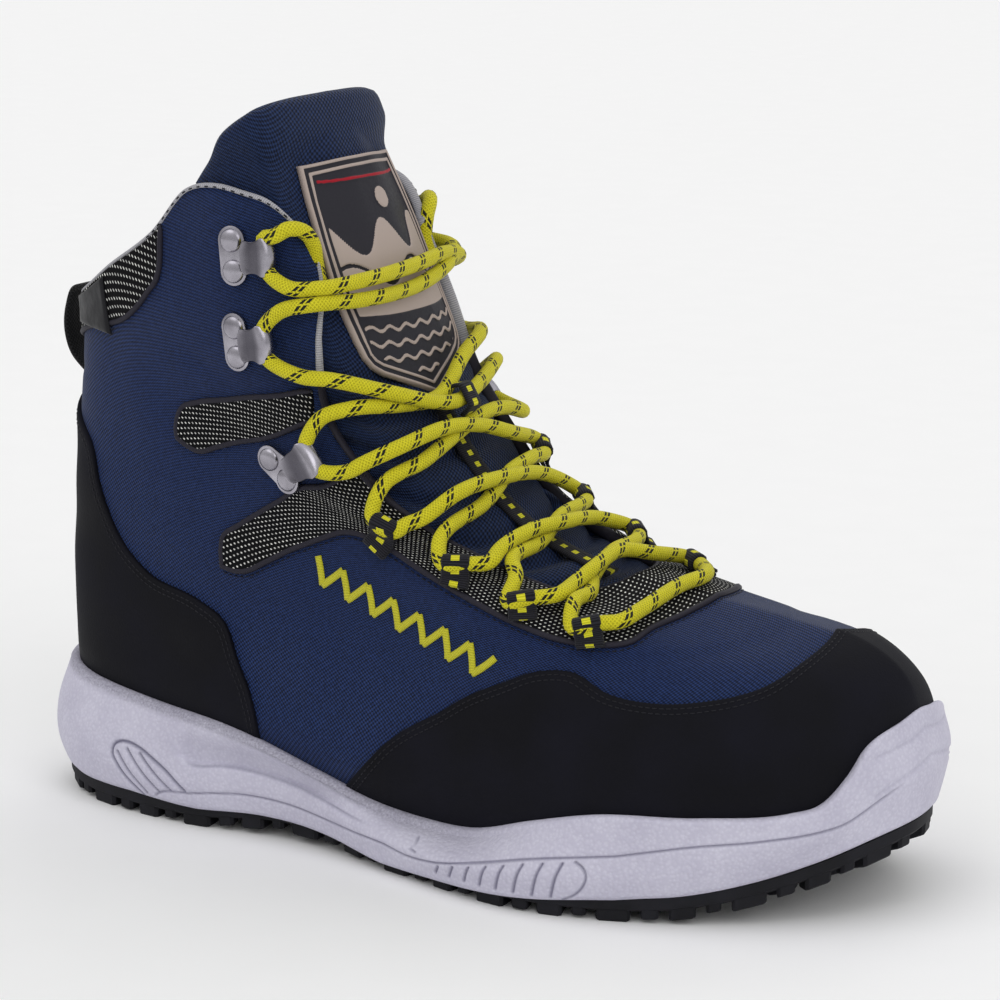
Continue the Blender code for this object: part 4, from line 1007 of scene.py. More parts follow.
# Hooks
# Stamped steel speed hooks, tumbled to a soft grey: a figure-eight plate under two domed rivets, a neck,
# and a lip folded back over the lace. The lock hooks have a longer lip.
HOOKS = [
    ("hook_lateral_top", (.658, 13.05), (.644, 12.63), (.738, 12.85)),
    ("hook_lateral_middle", (.607, 11.80), (.594, 11.31), (.672, 11.66)),
    ("hook_lateral_lock", (.556, 9.02), (.563, 8.59), (.678, 9.82)),
    ("hook_medial_top", (1.342, 13.05), (1.356, 12.63), (1.262, 12.85)),
    ("hook_medial_middle", (1.393, 11.80), (1.406, 11.31), (1.328, 11.66)),
    ("hook_medial_lock", (1.37, 9.62), (1.363, 9.19), (1.235, 10.42)),
]
steel = finish_of("tumbled_steel", "#a4a4a8", .36, Metallic=1.0)
place = node(steel, "TexCoord").outputs["Object"]
brush = node(steel, "TexNoise", at={"Vector": place, "Scale": 700.0, "Detail": 4.0})
cloud = node(steel, "TexNoise", at={"Vector": place, "Scale": 120.0, "Detail": 3.0})
cloud = node(steel, "MapRange", cloud, .3, .7)
steel_tone = node(steel, "Mix", cloud, at={6: "#87848c", 7: "#b9b6bf"}, data_type="RGBA")
# Where the lip turns back over the lace, an attribute paints the steel darker: a painted dark reflection of
# the bent sheet
wear(
    steel,
    colour=node(steel, "Mix", node(steel, "Attribute", attribute_name="painted_dark_reflection").outputs["Fac"],
                at={6: steel_tone, 7: "#4c4a52"}, data_type="RGBA"),
    rough=node(steel, "MapRange", brush, .3, .7, .2, .32), height=brush, depth=.03,
)
# Radius of the plate about each rivet, half widths of its neck, and the lip's reach back over the lace
PLATE_ROUND = 4.5
NECK = (3.2, 4.1)
LIP_REACH = 6.8
LOCK_REACH = 8.6


def arc(x, y, radius, start, end, count):
    """places on a circle from one angle to another, in degrees"""
    turn = [math.radians(deg) for deg in np.linspace(start, end, count)]
    return [(x + radius * math.cos(a), y + radius * math.sin(a)) for a in turn]


def face_outward(obj):
    choose(obj)
    bpy.ops.object.mode_set(mode="EDIT")
    bpy.ops.mesh.select_all(action="SELECT")
    bpy.ops.mesh.normals_make_consistent(inside=False)
    bpy.ops.object.mode_set(mode="OBJECT")


for name, rivet_a, rivet_b, lip_place in HOOKS:
    lock = "lock" in name
    spots = np.array([rivet_a, rivet_b, lip_place])
    mid_place = spots.mean(0)
    origin, out = last(*mid_place), normal(*mid_place)
    ahead = square_to(last(*lip_place) - origin, out)
    up = np.cross(out, ahead)
    if np.dot(up, last(mid_place[0], mid_place[1] + .3) - origin) < 0:
        up = -up
    flat = [(float(np.dot(last(*p) - origin, ahead)), float(np.dot(last(*p) - origin, up))) for p in spots]
    spread = np.meshgrid(*[np.linspace(axis.min(), axis.max(), 7) for axis in spots.T])
    clear = float(np.max((skin(*spread) - origin) @ out)) + .2 + (1.2 if lock else 0)
    # plate: an eight round both rivets with a neck toward the lip
    (ax, ay), (bx, by), (sx, sy) = flat
    root = max(ax, bx) + 4.4
    outline = arc(ax, ay, PLATE_ROUND, 20, 190, 12) + arc(bx, by, PLATE_ROUND, 170, 340, 12)
    outline += [(root, sy - NECK[0]), (sx + .4, sy - NECK[1]), (sx + .4, sy + NECK[1]), (root, sy + NECK[0])]
    at = [origin + ahead * x + up * y + out * clear for x, y in outline]
    plate = new_object(name + "_plate", at, [range(len(at))])
    choose(plate)
    bpy.ops.object.mode_set(mode="EDIT")
    bpy.ops.mesh.select_all(action="SELECT")
    bpy.ops.mesh.extrude_region_move(TRANSFORM_OT_translate={"value": tuple(out * .0012)})
    bpy.ops.object.mode_set(mode="OBJECT")
    face_outward(plate)
    modify(plate, "BEVEL", width=.00035, segments=2, limit_method="ANGLE")
    made = [plate]
    # rivets: domed heads with a small rolled foot
    turn = np.column_stack([ahead, up, out])
    for cx, cy in flat[:2]:
        bpy.ops.mesh.primitive_uv_sphere_add(segments=28, ring_count=16, radius=1)
        dome = bpy.context.object
        for v in dome.data.vertices:
            x, y, z = v.co
            wide, high = (3.5, 1.35) if z > 0 else (3.6, .8)
            p = origin + turn @ np.array([cx + x * wide, cy + y * wide, clear + 1.35 + z * high])
            v.co = to_row(p).tolist()
        bpy.ops.object.shade_smooth()
        made.append(dome)
    # lip: the sheet rises from the neck, turns over the lace and ends in a crescent
    rr = LACE_D / 2 + .45
    mx, my, mz = sx + .4, sy, clear + .6 + rr
    profile = [(mx - 2.6, mz - rr), (mx - 1.2, mz - rr)] + arc(mx, mz, rr, -85, 88, 14)
    reach = LOCK_REACH if lock else LIP_REACH
    for k in range(1, 8):
        f = k / 7
        profile.append((mx - reach * f, mz + rr - .6 * math.sin(math.pi * f) + .6 * f * f))
    rows = []
    painted_dark_reflection = []
    for k, (px, pz) in enumerate(profile):
        s = k / (len(profile) - 1)
        # from the top of the bend along the lip turned back over the lace: the painted dark reflection
        painted_dark_reflection += [.85 * ease(s, .6, .72) * ease(s, 1.06, .86)] * 11
        half = 4.0 + 1.9 * ease(s, .3, .6) - 1.1 * ease(s, .62, .8) + (-.7 if lock else .4) * ease(s, .84, 1)
        for t in np.linspace(-1, 1, 11):
            bow = -1.0 * t * t * stripe(s, .35, .68, .12) + 1.3 * t ** 4 * ease(s, .85, 1)
            rows.append(origin + ahead * (px + bow) + up * (my + half * t) + out * pz)
    lip = new_object(name + "_lip", rows, grid_faces(len(profile), 11))
    lip.data.attributes.new("painted_dark_reflection", "FLOAT", "POINT").data.foreach_set("value", painted_dark_reflection)
    modify(lip, "SOLIDIFY", thickness=.0011, offset=0)
    modify(lip, "BEVEL", width=.0003, segments=2, limit_method="ANGLE")
    modify(lip, "SUBSURF", levels=1, render_levels=1)
    choose(*made, lip)
    bpy.ops.object.join()
    face_outward(plate)
    bpy.ops.object.shade_smooth_by_angle(angle=math.radians(40))
    plate.data.materials.clear()
    plate.data.materials.append(steel)
    plate.name = name + "_steel"
    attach(plate, "root")
    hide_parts(name)
    SEATS[name] = (origin + ahead * mx + up * my + out * mz, up)

# Laces
# One round braid, 4.7 mm thick, yellow with paired black tracer flecks. It starts as a bar at the front,
# crosses up through the webbing loops to the hooks, and its two ends are tucked in behind the collar edge.
BRAID = 4.7
braid = finish_of("braided_polyester_yellow", "#e0d82d", .62, Sheen_Weight=.05, Specular_IOR_Level=.2)
u, v = uv_axes(braid)
plaits = []
for sign in (1.0, -1.0):
    lead = node(braid, "Math", node(braid, "Math", u, 6.2, operation="MULTIPLY"),
                node(braid, "Math", v, sign * 20 * math.pi, operation="MULTIPLY"), operation="ADD")
    plaits.append(node(braid, "Math", lead, operation="SINE"))
plait = node(braid, "MapRange", node(braid, "Math", *plaits, operation="MAXIMUM"), -1.0, 1.0)
yarn = node(braid, "TexNoise", at={"Vector": node(braid, "TexCoord").outputs["Object"], "Scale": 1500.0})
TRACER = 12.7       # millimetres along the lace to one turn of the black yarns
lead = node(braid, "Math", node(braid, "Math", u, 1 / TRACER, operation="MULTIPLY"), v, operation="ADD")
turned = node(braid, "Math", lead, operation="FRACT")
one = node(braid, "Math", turned, .085, operation="LESS_THAN")
two = node(braid, "Math", node(braid, "Math", turned, .175, operation="SUBTRACT"), operation="ABSOLUTE")
two = node(braid, "Math", two, .043, operation="LESS_THAN")
dashes = node(braid, "Math", node(braid, "Math", v, 7.0, operation="MULTIPLY"), operation="FRACT")
dashes = node(braid, "Math", dashes, .74, operation="LESS_THAN")
fleck = node(braid, "Math", node(braid, "Math", one, two, operation="MAXIMUM"), dashes, operation="MULTIPLY")
lit = node(braid, "Math", plait, node(braid, "MapRange", yarn, .3, .7, -.2, .2), operation="ADD")
yellow = node(braid, "Mix", lit, at={6: "#aaa20a", 7: "#dad226"}, data_type="RGBA")
wear(braid, colour=node(braid, "Mix", fleck, at={6: yellow, 7: "#1b1c14"}, data_type="RGBA"),
     height=plait, depth=.28)


def route(*stops):
    """the lace's way: places on the upper with a height, and hooks or loops with distances across them"""
    path = []
    for first, *rest in stops:
        if isinstance(first, str):
            middle, across = SEATS[first]
            path += [middle + across * far for far in rest]
        else:
            path.append(skin(first, *rest))
    return path


# The two halves of the lace from the bar to the top hooks
HALF_A = route(
    (.856, 6.06, 4.4), (.80, 5.72, 4.8), ("loop_lateral_4", -4.0, 4.0),
    (.787, 6.31, 4.4), (.855, 6.86, 3.2), (.922, 7.38, 2.0), (1.013, 7.64, 3.2), (1.075, 7.58, 4.4),
    ("loop_medial_3", -3.6, 3.6),
    (1.076, 8.22, 4.9), (.990, 8.42, 5.8), (.921, 8.45, 6.1), (.838, 8.12, 5.2), (.77, 7.55, 4.9),
    ("loop_lateral_2", -4.0, 4.0),
    (.745, 8.1, 4.6), (.811, 8.79, 4.0), (.928, 9.30, 2.0), (1.019, 9.60, 3.2), (1.081, 9.62, 4.2),
    ("loop_medial_1", -3.6, 3.6),
    (1.06, 10.06, 5.0), (1.007, 10.33, 5.6), (.937, 10.40, 6.0), (.849, 10.21, 5.4), (.774, 9.95, 5.2),
    (.722, 9.70, 5.2), ("hook_lateral_lock", -3.0, 3.0),
    (.735, 10.62, 4.8), (.807, 10.86, 4.0), (.897, 10.88, 2.2), (.965, 10.88, 3.0), (1.048, 11.28, 4.5),
    (1.12, 11.45, 5.4), (1.22, 11.40, 5.6), ("hook_medial_middle", -3.0, 3.0),
    (1.25, 12.2, 5.8), (1.18, 12.34, 6.4), (1.084, 12.50, 6.5), (.990, 12.46, 7.0), (.907, 12.42, 7.2),
    (.835, 12.41, 6.2), (.785, 12.46, 5.6), ("hook_lateral_top", -3.0, 1.5),
)
HALF_B = route(
    (.969, 6.40, 4.0), (1.03, 6.34, 4.4), ("loop_medial_4", -3.6, 3.6),
    (1.046, 7.22, 5.2), (.997, 7.47, 5.9), (.911, 7.34, 6.1), (.84, 6.98, 5.4), (.775, 6.45, 5.0),
    ("loop_lateral_3", -4.0, 4.0),
    (.77, 7.1, 4.4), (.835, 7.88, 4.0), (.938, 8.36, 2.0), (1.038, 8.66, 3.2), (1.09, 8.62, 4.2),
    ("loop_medial_2", -3.6, 3.6),
    (1.08, 9.30, 5.0), (.972, 9.52, 5.9), (.880, 9.45, 6.1), (.790, 9.04, 5.2), (.745, 8.75, 5.0),
    ("loop_lateral_1", -4.0, 4.0),
    (.775, 9.60, 4.4), (.883, 10.02, 2.2), (.95, 10.28, 2.6), (1.03, 10.47, 4.2), (1.08, 10.40, 5.0),
    (1.15, 10.12, 5.4), ("hook_medial_lock", -3.0, 3.0),
    (1.15, 10.98, 5.4), (1.058, 10.88, 5.2), (.984, 10.75, 5.4), (.942, 10.80, 5.8), (.882, 11.02, 5.9),
    (.797, 11.28, 5.2), (.735, 11.28, 5.0), ("hook_lateral_middle", -3.0, 3.0),
    (.747, 12.16, 5.5), (.812, 12.23, 6.0), (.897, 12.20, 5.8), (.999, 12.23, 5.6), (1.086, 12.38, 5.8),
    (1.18, 12.52, 5.6), ("hook_medial_top", -3.0, 1.5),
)


def smooth_path(points, spacing):
    """even points on a rounded path through its places"""
    chord = np.concatenate([[0], np.cumsum(np.linalg.norm(np.diff(points, axis=0), axis=1) ** .75)])
    fine = smoothed(points, chord, 60 * len(points))
    for _ in range(40):
        fine[1:-1] = (fine[:-2] + fine[2:]) / 4 + fine[1:-1] / 2
    run = run_of(fine)
    return between(fine, run, np.linspace(0, run[-1], max(8, int(run[-1] / spacing))))


def braided(points, sides=14):
    """points, faces and uv of the lace along a path, without twist; v is one turn round it"""
    run = heading(points)
    up = np.cross(run[0], [0, 0, 1.0])
    ups = []
    for way in run:
        up = square_to(up, way)
        ups.append(up)
    ups = np.array(ups)
    other = np.cross(run, ups)
    a = np.linspace(0, 2 * np.pi, sides + 1)
    ring = ups[:, None] * np.cos(a)[None, :, None] + other[:, None] * np.sin(a)[None, :, None]
    grow = np.ones(len(points))
    grow[0] = grow[-1] = .6
    verts = points[:, None] + ring * BRAID / 2 * grow[:, None, None]
    uv = np.stack(np.broadcast_arrays(run_of(points)[:, None], (a / (2 * np.pi))[None, :]), -1)
    return verts.reshape(-1, 3), tube_faces(len(points), sides + 1, wrap=False), uv.reshape(-1, 2)


lace_points = smooth_path(HALF_A[::-1] + HALF_B, 1.15)
lace = piece("lace_braid", *braided(lace_points), braid, "lace")
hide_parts("lace_bar", *["lace_cross_%d" % k for k in range(1, 7)])
ENDS = (
    ("lace_end_outer", "lace_end_lateral", "hook_lateral_top", (
        (.785, 13.1, 4.8), (.815, 13.16, 4.4), (.842, 13.12, 3.2), (.862, 12.98, .8), (.866, 12.75, -1.8),
        (.862, 12.5, -2.4))),
    ("lace_end_inner", "lace_end_medial", "hook_medial_top", (
        (1.215, 13.1, 4.8), (1.185, 13.16, 4.4), (1.158, 13.12, 3.2), (1.138, 12.98, .8),
        (1.130, 12.75, -1.8), (1.126, 12.5, -2.4))),
)
for name, replaced, hook, places in ENDS:
    points = smooth_path(route((hook, 1.5, 5.5), *places), 1.2)
    end = piece(name, *braided(points), braid, "lace")
    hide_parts(replaced)
    metres = to_row(points)
    long = float(np.sum(np.linalg.norm(np.diff(metres, axis=0), axis=1)))
    print(name, "length", round(long, 4))

# Lace keeper
# The centre strip's own webbing, sewn down again below the badge as a short bridge over the two laces
# that cross there.
rows = np.linspace(10.56, 10.97, 40)
clear = tongue_face(1, rows) + 2.5
for k, (p, n) in enumerate(zip(last(1, rows), normal(1, rows))):
    gap = lace_points - p
    high = gap @ n
    beside = np.linalg.norm(gap - high[:, None] * n, axis=1)
    under_it = high[(beside < 4.5) & (high < 16)]
    if len(under_it):
        clear[k] = max(clear[k], under_it.max() + BRAID / 2 + .9)
clear *= ease(np.arange(40), -5, 4) * ease(np.arange(40), 44, 35)
clear = np.maximum(clear, tongue_face(1, rows) + 2.2)
for _ in range(12):
    clear[1:-1] = (clear[:-2] + clear[2:]) / 4 + clear[1:-1] / 2
keeper = band(skin(1, rows, clear), 7.6, 1.2, tongue_across(rows))
piece("tongue_lace_keeper", *keeper, webbing, "webbing")

# Midsole
# Injection moulded foam rubber, pale grey with a fine pebble grain: a cup round the upper with a thin
# parting line, a drop of ribs at the heel, a smooth hollow over the arch and short ribs at the ball.
SOLE_AT = (0, .12, .3, .42, .5, .6, .7, .86, 1)
SOLE = [
    (.0096, .984, .245, .396, .396, .5, .613, .538, .274, .226, .363, .321, .349, .434, .472, .358),
    (.0016, .9885, .259, .41, .41, .519, .627, .557, .292, .236, .377, .34, .368, .453, .491, .387),
    (.0032, .9915, .259, .401, .41, .514, .604, .557, .321, .236, .373, .358, .377, .462, .495, .406),
]
SPRING = [
    (0, .261), (.0256, .152), (.0641, .035), (.1282, 0), (.2404, 0), (.3205, .104), (.4006, .096), (.4808, 0),
    (.7532, 0), (.8141, .078), (.8718, .261), (.9295, .543), (.9712, .804), (1.0096, 1),
]
TOE_SPRING = 23.0
LUG = 4.5
PLATE = 3.0
RIM = 4.6
# How far the wall hangs down round the outsole, in millimetres
SKIRT = [
    (0, 0), (.25, 0), (.30, .9), (.35, 1.7), (.40, 3.0), (.45, 4.0), (.48, 4.6), (.51, 4.8), (.54, 4.4),
    (.58, 3.7), (.62, 2.6), (.66, 1.0), (.70, 0), (1, 0),
]
# Lines moulded into the wall: millimetres along it from the heel and over the foot of the wall
PARTING = [
    (79.4, 0), (83.2, 2.2), (95.2, 4.0), (108.7, 4.6), (121.3, 4.1), (134.8, 3.3), (147.7, 2.4),
    (161.3, 2.6), (177.5, 3.2),
    (187.2, 1.6), (198.9, 2.0), (216.2, 5.5), (236.2, 10.0), (260.6, 13.6), (284.4, 16.2), (307.7, 13.8),
    (325.4, 11.1),
    (335.0, 10.5), (342.8, 12.1), (351.2, 14.2), (362.2, 16.4), (371.7, 19.4),
]
DROP = [
    (75.0, 0), (70.8, 3.8), (67.0, 8.6), (64.6, 12.6), (65.3, 15.4), (67.6, 16.7), (70.5, 17.0), (75.7, 16.0),
    (81.9, 13.4), (88.1, 10.2), (94.5, 4.6),
]
DROP_RIBS = (((67.0, 13.3), (77.2, 1.1)), ((71.1, 14.8), (83.2, 2.4)), ((76.6, 14.2), (88.8, 3.7)))
HOLLOW_FOOT = [
    (92.8, 15.5), (98.3, 13.9), (108.3, 13.9), (120.9, 12.5), (129.8, 11.3), (139.2, 10.1), (149.0, 8.7),
    (160.0, 7.6), (167.7, 7.4), (175.4, 7.6),
]
BALL_RIBS = (
    (202.3, 200.8), (208.5, 206.6), (214.8, 212.8), (221.0, 218.8), (227.2, 224.8), (233.6, 231.0),
    (240.0, 237.2), (246.4, 243.2),
)
BALL_ARC = [(250.4, 11.0), (253.2, 9.4), (254.6, 7.0), (253.6, 3.6), (250.4, .2), (246.9, -1.6)]
NICK = [(191.0, 6.8), (190.2, 4.2), (192.2, 3.6)]
BUMPER = ([(347.5, 26.0), (362.4, 26.4), (371.7, 28.4)], [(345.4, 15.0), (358.8, 17.5), (371.7, 20.4)])


def sole_edge(k, tau, side):
    row = SOLE[k]
    first = 2 if side < 0 else 9
    half = hermite(SOLE_AT, np.array((0,) + row[first:first + 7] + (0,)) * BALL, tau)
    x = LENGTH * (row[0] + (row[1] - row[0]) * (1 - np.cos(np.pi * tau)) / 2)
    return x, side * half + centre(x)


def ground(x):
    return np.maximum(hermite([r[0] * LENGTH for r in SPRING], [r[1] * TOE_SPRING for r in SPRING], x), 0.0)


def skirt(tau):
    return np.maximum(curve(SKIRT, tau), 0.0)


def foot_of(tau, side):
    return ground(sole_edge(0, tau, side)[0]) + LUG + PLATE + .3


def on_centre(points, tau):
    points[..., 1] = np.where((tau == 0) | (tau == 1), centre(points[..., 0]), points[..., 1])
    return points


def rim_at(tau, side, height, lift=0.0):
    row = curve(RIM_LINE, tau)
    toe = ease(tau, .88, .97)
    points = skin(tau if side < 0 else 2 - tau, row, height * (1 - .38 * toe) if height > 0 else height)
    points[..., 2] += lift
    calm = ease(tau, .895, .925)[:, None] / 4
    for _ in range(60):
        points[1:-1] += calm[1:-1] * (points[:-2] + points[2:] - 2 * points[1:-1])
        points[-1, ::2] += calm[-1] * 2 * (points[-2, ::2] - points[-1, ::2])
    return on_centre(points, tau)


def sole_side(tau, side, share):
    """side wall, share 0 at the bottom edge and 1 at the rim"""
    foot = foot_of(tau, side)
    rim = rim_at(tau, side, RIM)
    x, y = sole_edge(0, tau, side)
    stations = [np.stack([x, y, foot - skirt(tau)], -1)]
    for k, part in ((1, .26), (2, .6)):
        x, y = sole_edge(k, tau, side)
        stations.append(np.stack([x, y, foot + part * (rim[:, 2] - foot)], -1))
    stations.append(rim)
    stations = np.stack(stations, -1)
    return on_centre(hermite((0, .26, .6, 1), stations, np.broadcast_to(share, stations.shape[:-1])), tau)


SOLE_TAU = np.concatenate([[0]] + [np.linspace(*span)[1:] for span in (
    (0, .2, 50), (.2, .33, 90), (.33, .53, 90), (.53, .67, 130), (.67, 1, 110),
)])
SHARE = np.linspace(0, 1, 60)
foam = finish_of("moulded_foam_rubber_grey", "#c9c7d6", .6, Specular_IOR_Level=.25)
place = node(foam, "TexCoord").outputs["Object"]
pebble = node(foam, "TexVoronoi", at={"Vector": place, "Scale": 900.0, "Smoothness": .6}, feature="SMOOTH_F1")
skin_noise = node(foam, "TexNoise", at={"Vector": place, "Scale": 60.0, "Detail": 5.0})
dust = node(foam, "TexNoise", at={"Vector": place, "Scale": 1500.0, "Detail": 3.0})
# Grooves, the arch recess and the ledge at its foot are painted darker by an attribute: painted shade in the
# moulded recesses
painted_groove_shade = node(foam, "MapRange", node(foam, "Attribute", attribute_name="hollow").outputs["Fac"], .1, 1.0)
rimmed = node(foam, "Attribute", attribute_name="smudge").outputs["Fac"]
smudge = node(foam, "Math", rimmed, node(foam, "MapRange", dust, .25, .7, .25, 1.0), operation="MULTIPLY")
pits = node(foam, "Math", node(foam, "MapRange", skin_noise, .3, .7, 0.0, .5),
            node(foam, "MapRange", pebble, .1, .6, .5, 0.0), operation="ADD")
clean_foam = node(foam, "Mix", pits, at={6: "#bdbacc", 7: "#d3d1e0"}, data_type="RGBA")
foam_with_painted_shade = node(foam, "Mix", painted_groove_shade, at={6: clean_foam, 7: "#727086"}, data_type="RGBA")
wear(foam, colour=node(foam, "Mix", smudge, at={6: foam_with_painted_shade, 7: "#55535f"}, data_type="RGBA"),
     rough=node(foam, "MapRange", skin_noise, .3, .7, .55, .7), height=pebble, depth=.3)


def rounded(way, count=40):
    """a smooth curve through a short list of points"""
    way = np.asarray(way, float)
    return smoothed(way, run_of(way), count)


def groove(a, h, way, wide, deep):
    """depth of a soft groove along a line drawn on the wall"""
    return deep * np.exp(-(away(a, h, way) / wide) ** 2)


def carve(a, h):
    """depth below the wall of everything moulded into it, and how much of it is painted dark as painted shade
    """
    line_of = line(PARTING, a)
    cut = groove(a, h, rounded(PARTING, 90), .42, .75) * ease(a, 79, 82) * ease(a, 360, 346)
    drawn = [(rounded(DROP), .6, 1.0), (rounded(BALL_ARC), .45, .8), (NICK, .5, .7)]
    for way, wide, deep in drawn + [(rib, .5, .9) for rib in DROP_RIBS]:
        cut = np.maximum(cut, groove(a, h, way, wide, deep))
    for top, foot in BALL_RIBS:
        rib = groove(a, h, ((top, line(PARTING, top) - 1.4), (foot, -1.0)), .55, .9)
        cut = np.maximum(cut, rib * ease(h, line_of - .4, line_of - 1.2))
    # the grooves are painted dark, the bumper lines a little: painted shade
    dark = cut.copy()
    for way in BUMPER:
        soft_cut = groove(a, h, rounded(way), .8, .7)
        cut = np.maximum(cut, soft_cut)
        dark = np.maximum(dark, .3 * soft_cut)
    floor_of = line(HOLLOW_FOOT, a)
    dish = ease(h, floor_of - .2, floor_of + .9) * ease(h, floor_of + 11.5, floor_of + 4.0)
    dish = dish * ease(a, 89.5, 94.5) * ease(a, 176, 140)
    fringe = groove(a, h + .3, rounded(HOLLOW_FOOT, 60), .6, .7) * ease(a, 92, 100) * ease(a, 180, 155)
    # a painted shadow lines the ledge at the foot of the recess, and the recess itself gets a little painted
    # shade
    return cut + 2.0 * dish + fringe, np.clip(dark + .8 * fringe + .2 * dish, 0, 1)


lateral = sole_side(SOLE_TAU, -1, .3)
ARC = run_of(lateral)
rings = []
hollow = []
soiled = []
for side in (-1, 1):
    wall_points = np.array([sole_side(SOLE_TAU, side, s) for s in SHARE])
    foot = foot_of(SOLE_TAU, side)
    inward = normal(SOLE_TAU if side < 0 else 2 - SOLE_TAU, 1.0 + 0 * SOLE_TAU)
    inward[:, 2] = 0
    inward = unit(inward)
    height = wall_points[..., 2] - foot
    cut, dark = carve(ARC[None, :] + 0 * height, height)
    over_edge = height + skirt(SOLE_TAU)
    cut = cut * ease(over_edge, .2, 1.2) + .7 * (1 - ease(over_edge, 0, 1.3))
    wall_points = on_centre(wall_points - inward[None] * cut[..., None], SOLE_TAU[None, :] + 0 * cut)
    below_rim = wall_points[-1][:, 2] - wall_points[..., 2]
    dirt = ease(below_rim, 2.7, -.5) ** 1.5 * ease(SOLE_TAU, .62, .50)[None, :] * .6
    # underside of the wall, then its inner face up to the bottom of the cup
    under = []
    for inset, lift in ((1.4, 0.0), (1.9, .3), (2.0, None)):
        p = on_centre(sole_side(SOLE_TAU, side, 0.0) - inward * inset, SOLE_TAU)
        p[:, 2] = foot if lift is None else p[:, 2] + lift
        under.append(p)
    under = np.array(under[::-1])
    # rim: a soft bead rolled over toward the upper
    over = np.array([rim_at(SOLE_TAU, side, rise, lift) for rise, lift in (
        (RIM - .05, .45), (RIM - .4, .85), (RIM - 1.2, 1.15), (RIM - 2.2, 1.15), (RIM - 3.2, .85),
        (.9, .3), (-.4, -.5), (-2.4, -.6),
    )])
    rim_dirt = np.ones((len(over), 1)) * ease(SOLE_TAU, .62, .50)[None, :] * .6
    rings.append(np.concatenate([under, wall_points, over]))
    hollow.append(np.concatenate([np.zeros(under.shape[:2]), dark, np.zeros(over.shape[:2])]))
    soiled.append(np.concatenate([np.zeros(under.shape[:2]), dirt, rim_dirt]))
ring_points, ring_painted_shade, ring_soiled = [
    np.concatenate([pair[0], pair[1][:, -2:0:-1]], 1) for pair in (rings, hollow, soiled)
]
n_rings, n_around = ring_points.shape[:2]
faces = grid_faces(n_rings, n_around, wrap=True)
count = len(SOLE_TAU)


def strip_cap(ring, around, half, flip):
    """faces across a ring, from each place of its lateral half to the same place of the medial half"""
    out = []
    for j in range(half - 1):
        corners = [ring * around + v % around for v in (j, j + 1, around - j - 1, around - j)]
        cell = [v for i, v in enumerate(corners) if v not in corners[:i]]
        out.append(tuple(reversed(cell)) if flip else tuple(cell))
    return out


faces += strip_cap(0, n_around, count, True) + strip_cap(n_rings - 1, n_around, count, False)
midsole = piece("midsole_cup", ring_points, faces, None, foam, "midsole_foam",
                marks={"hollow": ring_painted_shade, "smudge": ring_soiled})
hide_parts("midsole")

# Outsole and insole
# The outsole is black rubber, a plate moulded with chunky lugs, long and short by turns along its edge and
# hexagonal down the middle; it is bonded into the midsole. The insole board is covered in black felt.
rubber = finish_of("moulded_rubber_black", "#17171b", .66, Specular_IOR_Level=.2)
place = node(rubber, "TexCoord").outputs["Object"]
grain = node(rubber, "TexNoise", at={"Vector": place, "Scale": 700.0, "Detail": 4.0})
scuff = node(rubber, "TexNoise", at={"Vector": place, "Scale": 60.0, "Detail": 5.0})
scuffed = node(rubber, "MapRange", scuff, .4, .75)
wear(rubber, colour=node(rubber, "Mix", scuffed, at={6: "#131317", 7: "#232329"}, data_type="RGBA"),
     rough=node(rubber, "MapRange", scuff, .3, .7, .58, .75), height=grain, depth=.08)
PLATE_FOOT = 3.2        # height of the plate's underside over the tips of the lugs
PLATE_IN = 1.2
# Lugs at the edge by turns: length, how much shorter, depth in
EDGE_LUGS = ((11.0, 0.0, 9.5), (6.0, .7, 6.5), (8.5, 0.0, 11.5), (5.0, 1.1, 7.0))
GAP_BETWEEN = 2.6


def plan(tau, side, inset):
    """outline of the outsole, moved inward"""
    tau = np.asarray(tau, float)
    x, y = sole_edge(0, tau, side)
    ahead_x, ahead_y = sole_edge(0, np.minimum(tau + .004, 1), side)
    back_x, back_y = sole_edge(0, np.maximum(tau - .004, 0), side)
    run = unit(np.stack([ahead_x - back_x, ahead_y - back_y], -1))
    inner = np.stack([run[..., 1], -run[..., 0]], -1) * side
    where = np.stack([x, y], -1) + inner * (np.asarray(inset, float) + .22 * skirt(tau))[..., None]
    on_line = np.stack([where[..., 0], centre(where[..., 0])], -1)
    return np.where(((tau <= 0) | (tau >= 1))[..., None], on_line, where)


def lug(corners, drop):
    """one lug with bevelled corners and a chamfered tip, between the plate and the ground"""
    corners = np.asarray(corners, float)
    area = np.sum(corners[:, 0] * np.roll(corners[:, 1], -1) - np.roll(corners[:, 0], -1) * corners[:, 1])
    corners = corners if area > 0 else corners[::-1]
    cut = []
    for k in range(len(corners)):
        p, c, n = corners[k - 1], corners[k], corners[(k + 1) % len(corners)]
        for q in (p, n):
            d = q - c
            cut.append(c + unit(d) * min(1.0, .3 * np.linalg.norm(d)))
    cut = np.array(cut)
    mid = cut.mean(0)
    rings_of = []
    for shrink, z in ((.90, drop), (.97, drop + .5), (1.0, PLATE_FOOT + 1.0)):
        flat_ring = mid + (cut - mid) * shrink
        rings_of.append(np.concatenate([flat_ring, (ground(flat_ring[:, 0]) + z)[:, None]], 1))
    n = len(cut)
    return np.concatenate(rings_of), tube_faces(3, n), np.zeros((3 * n, 2))


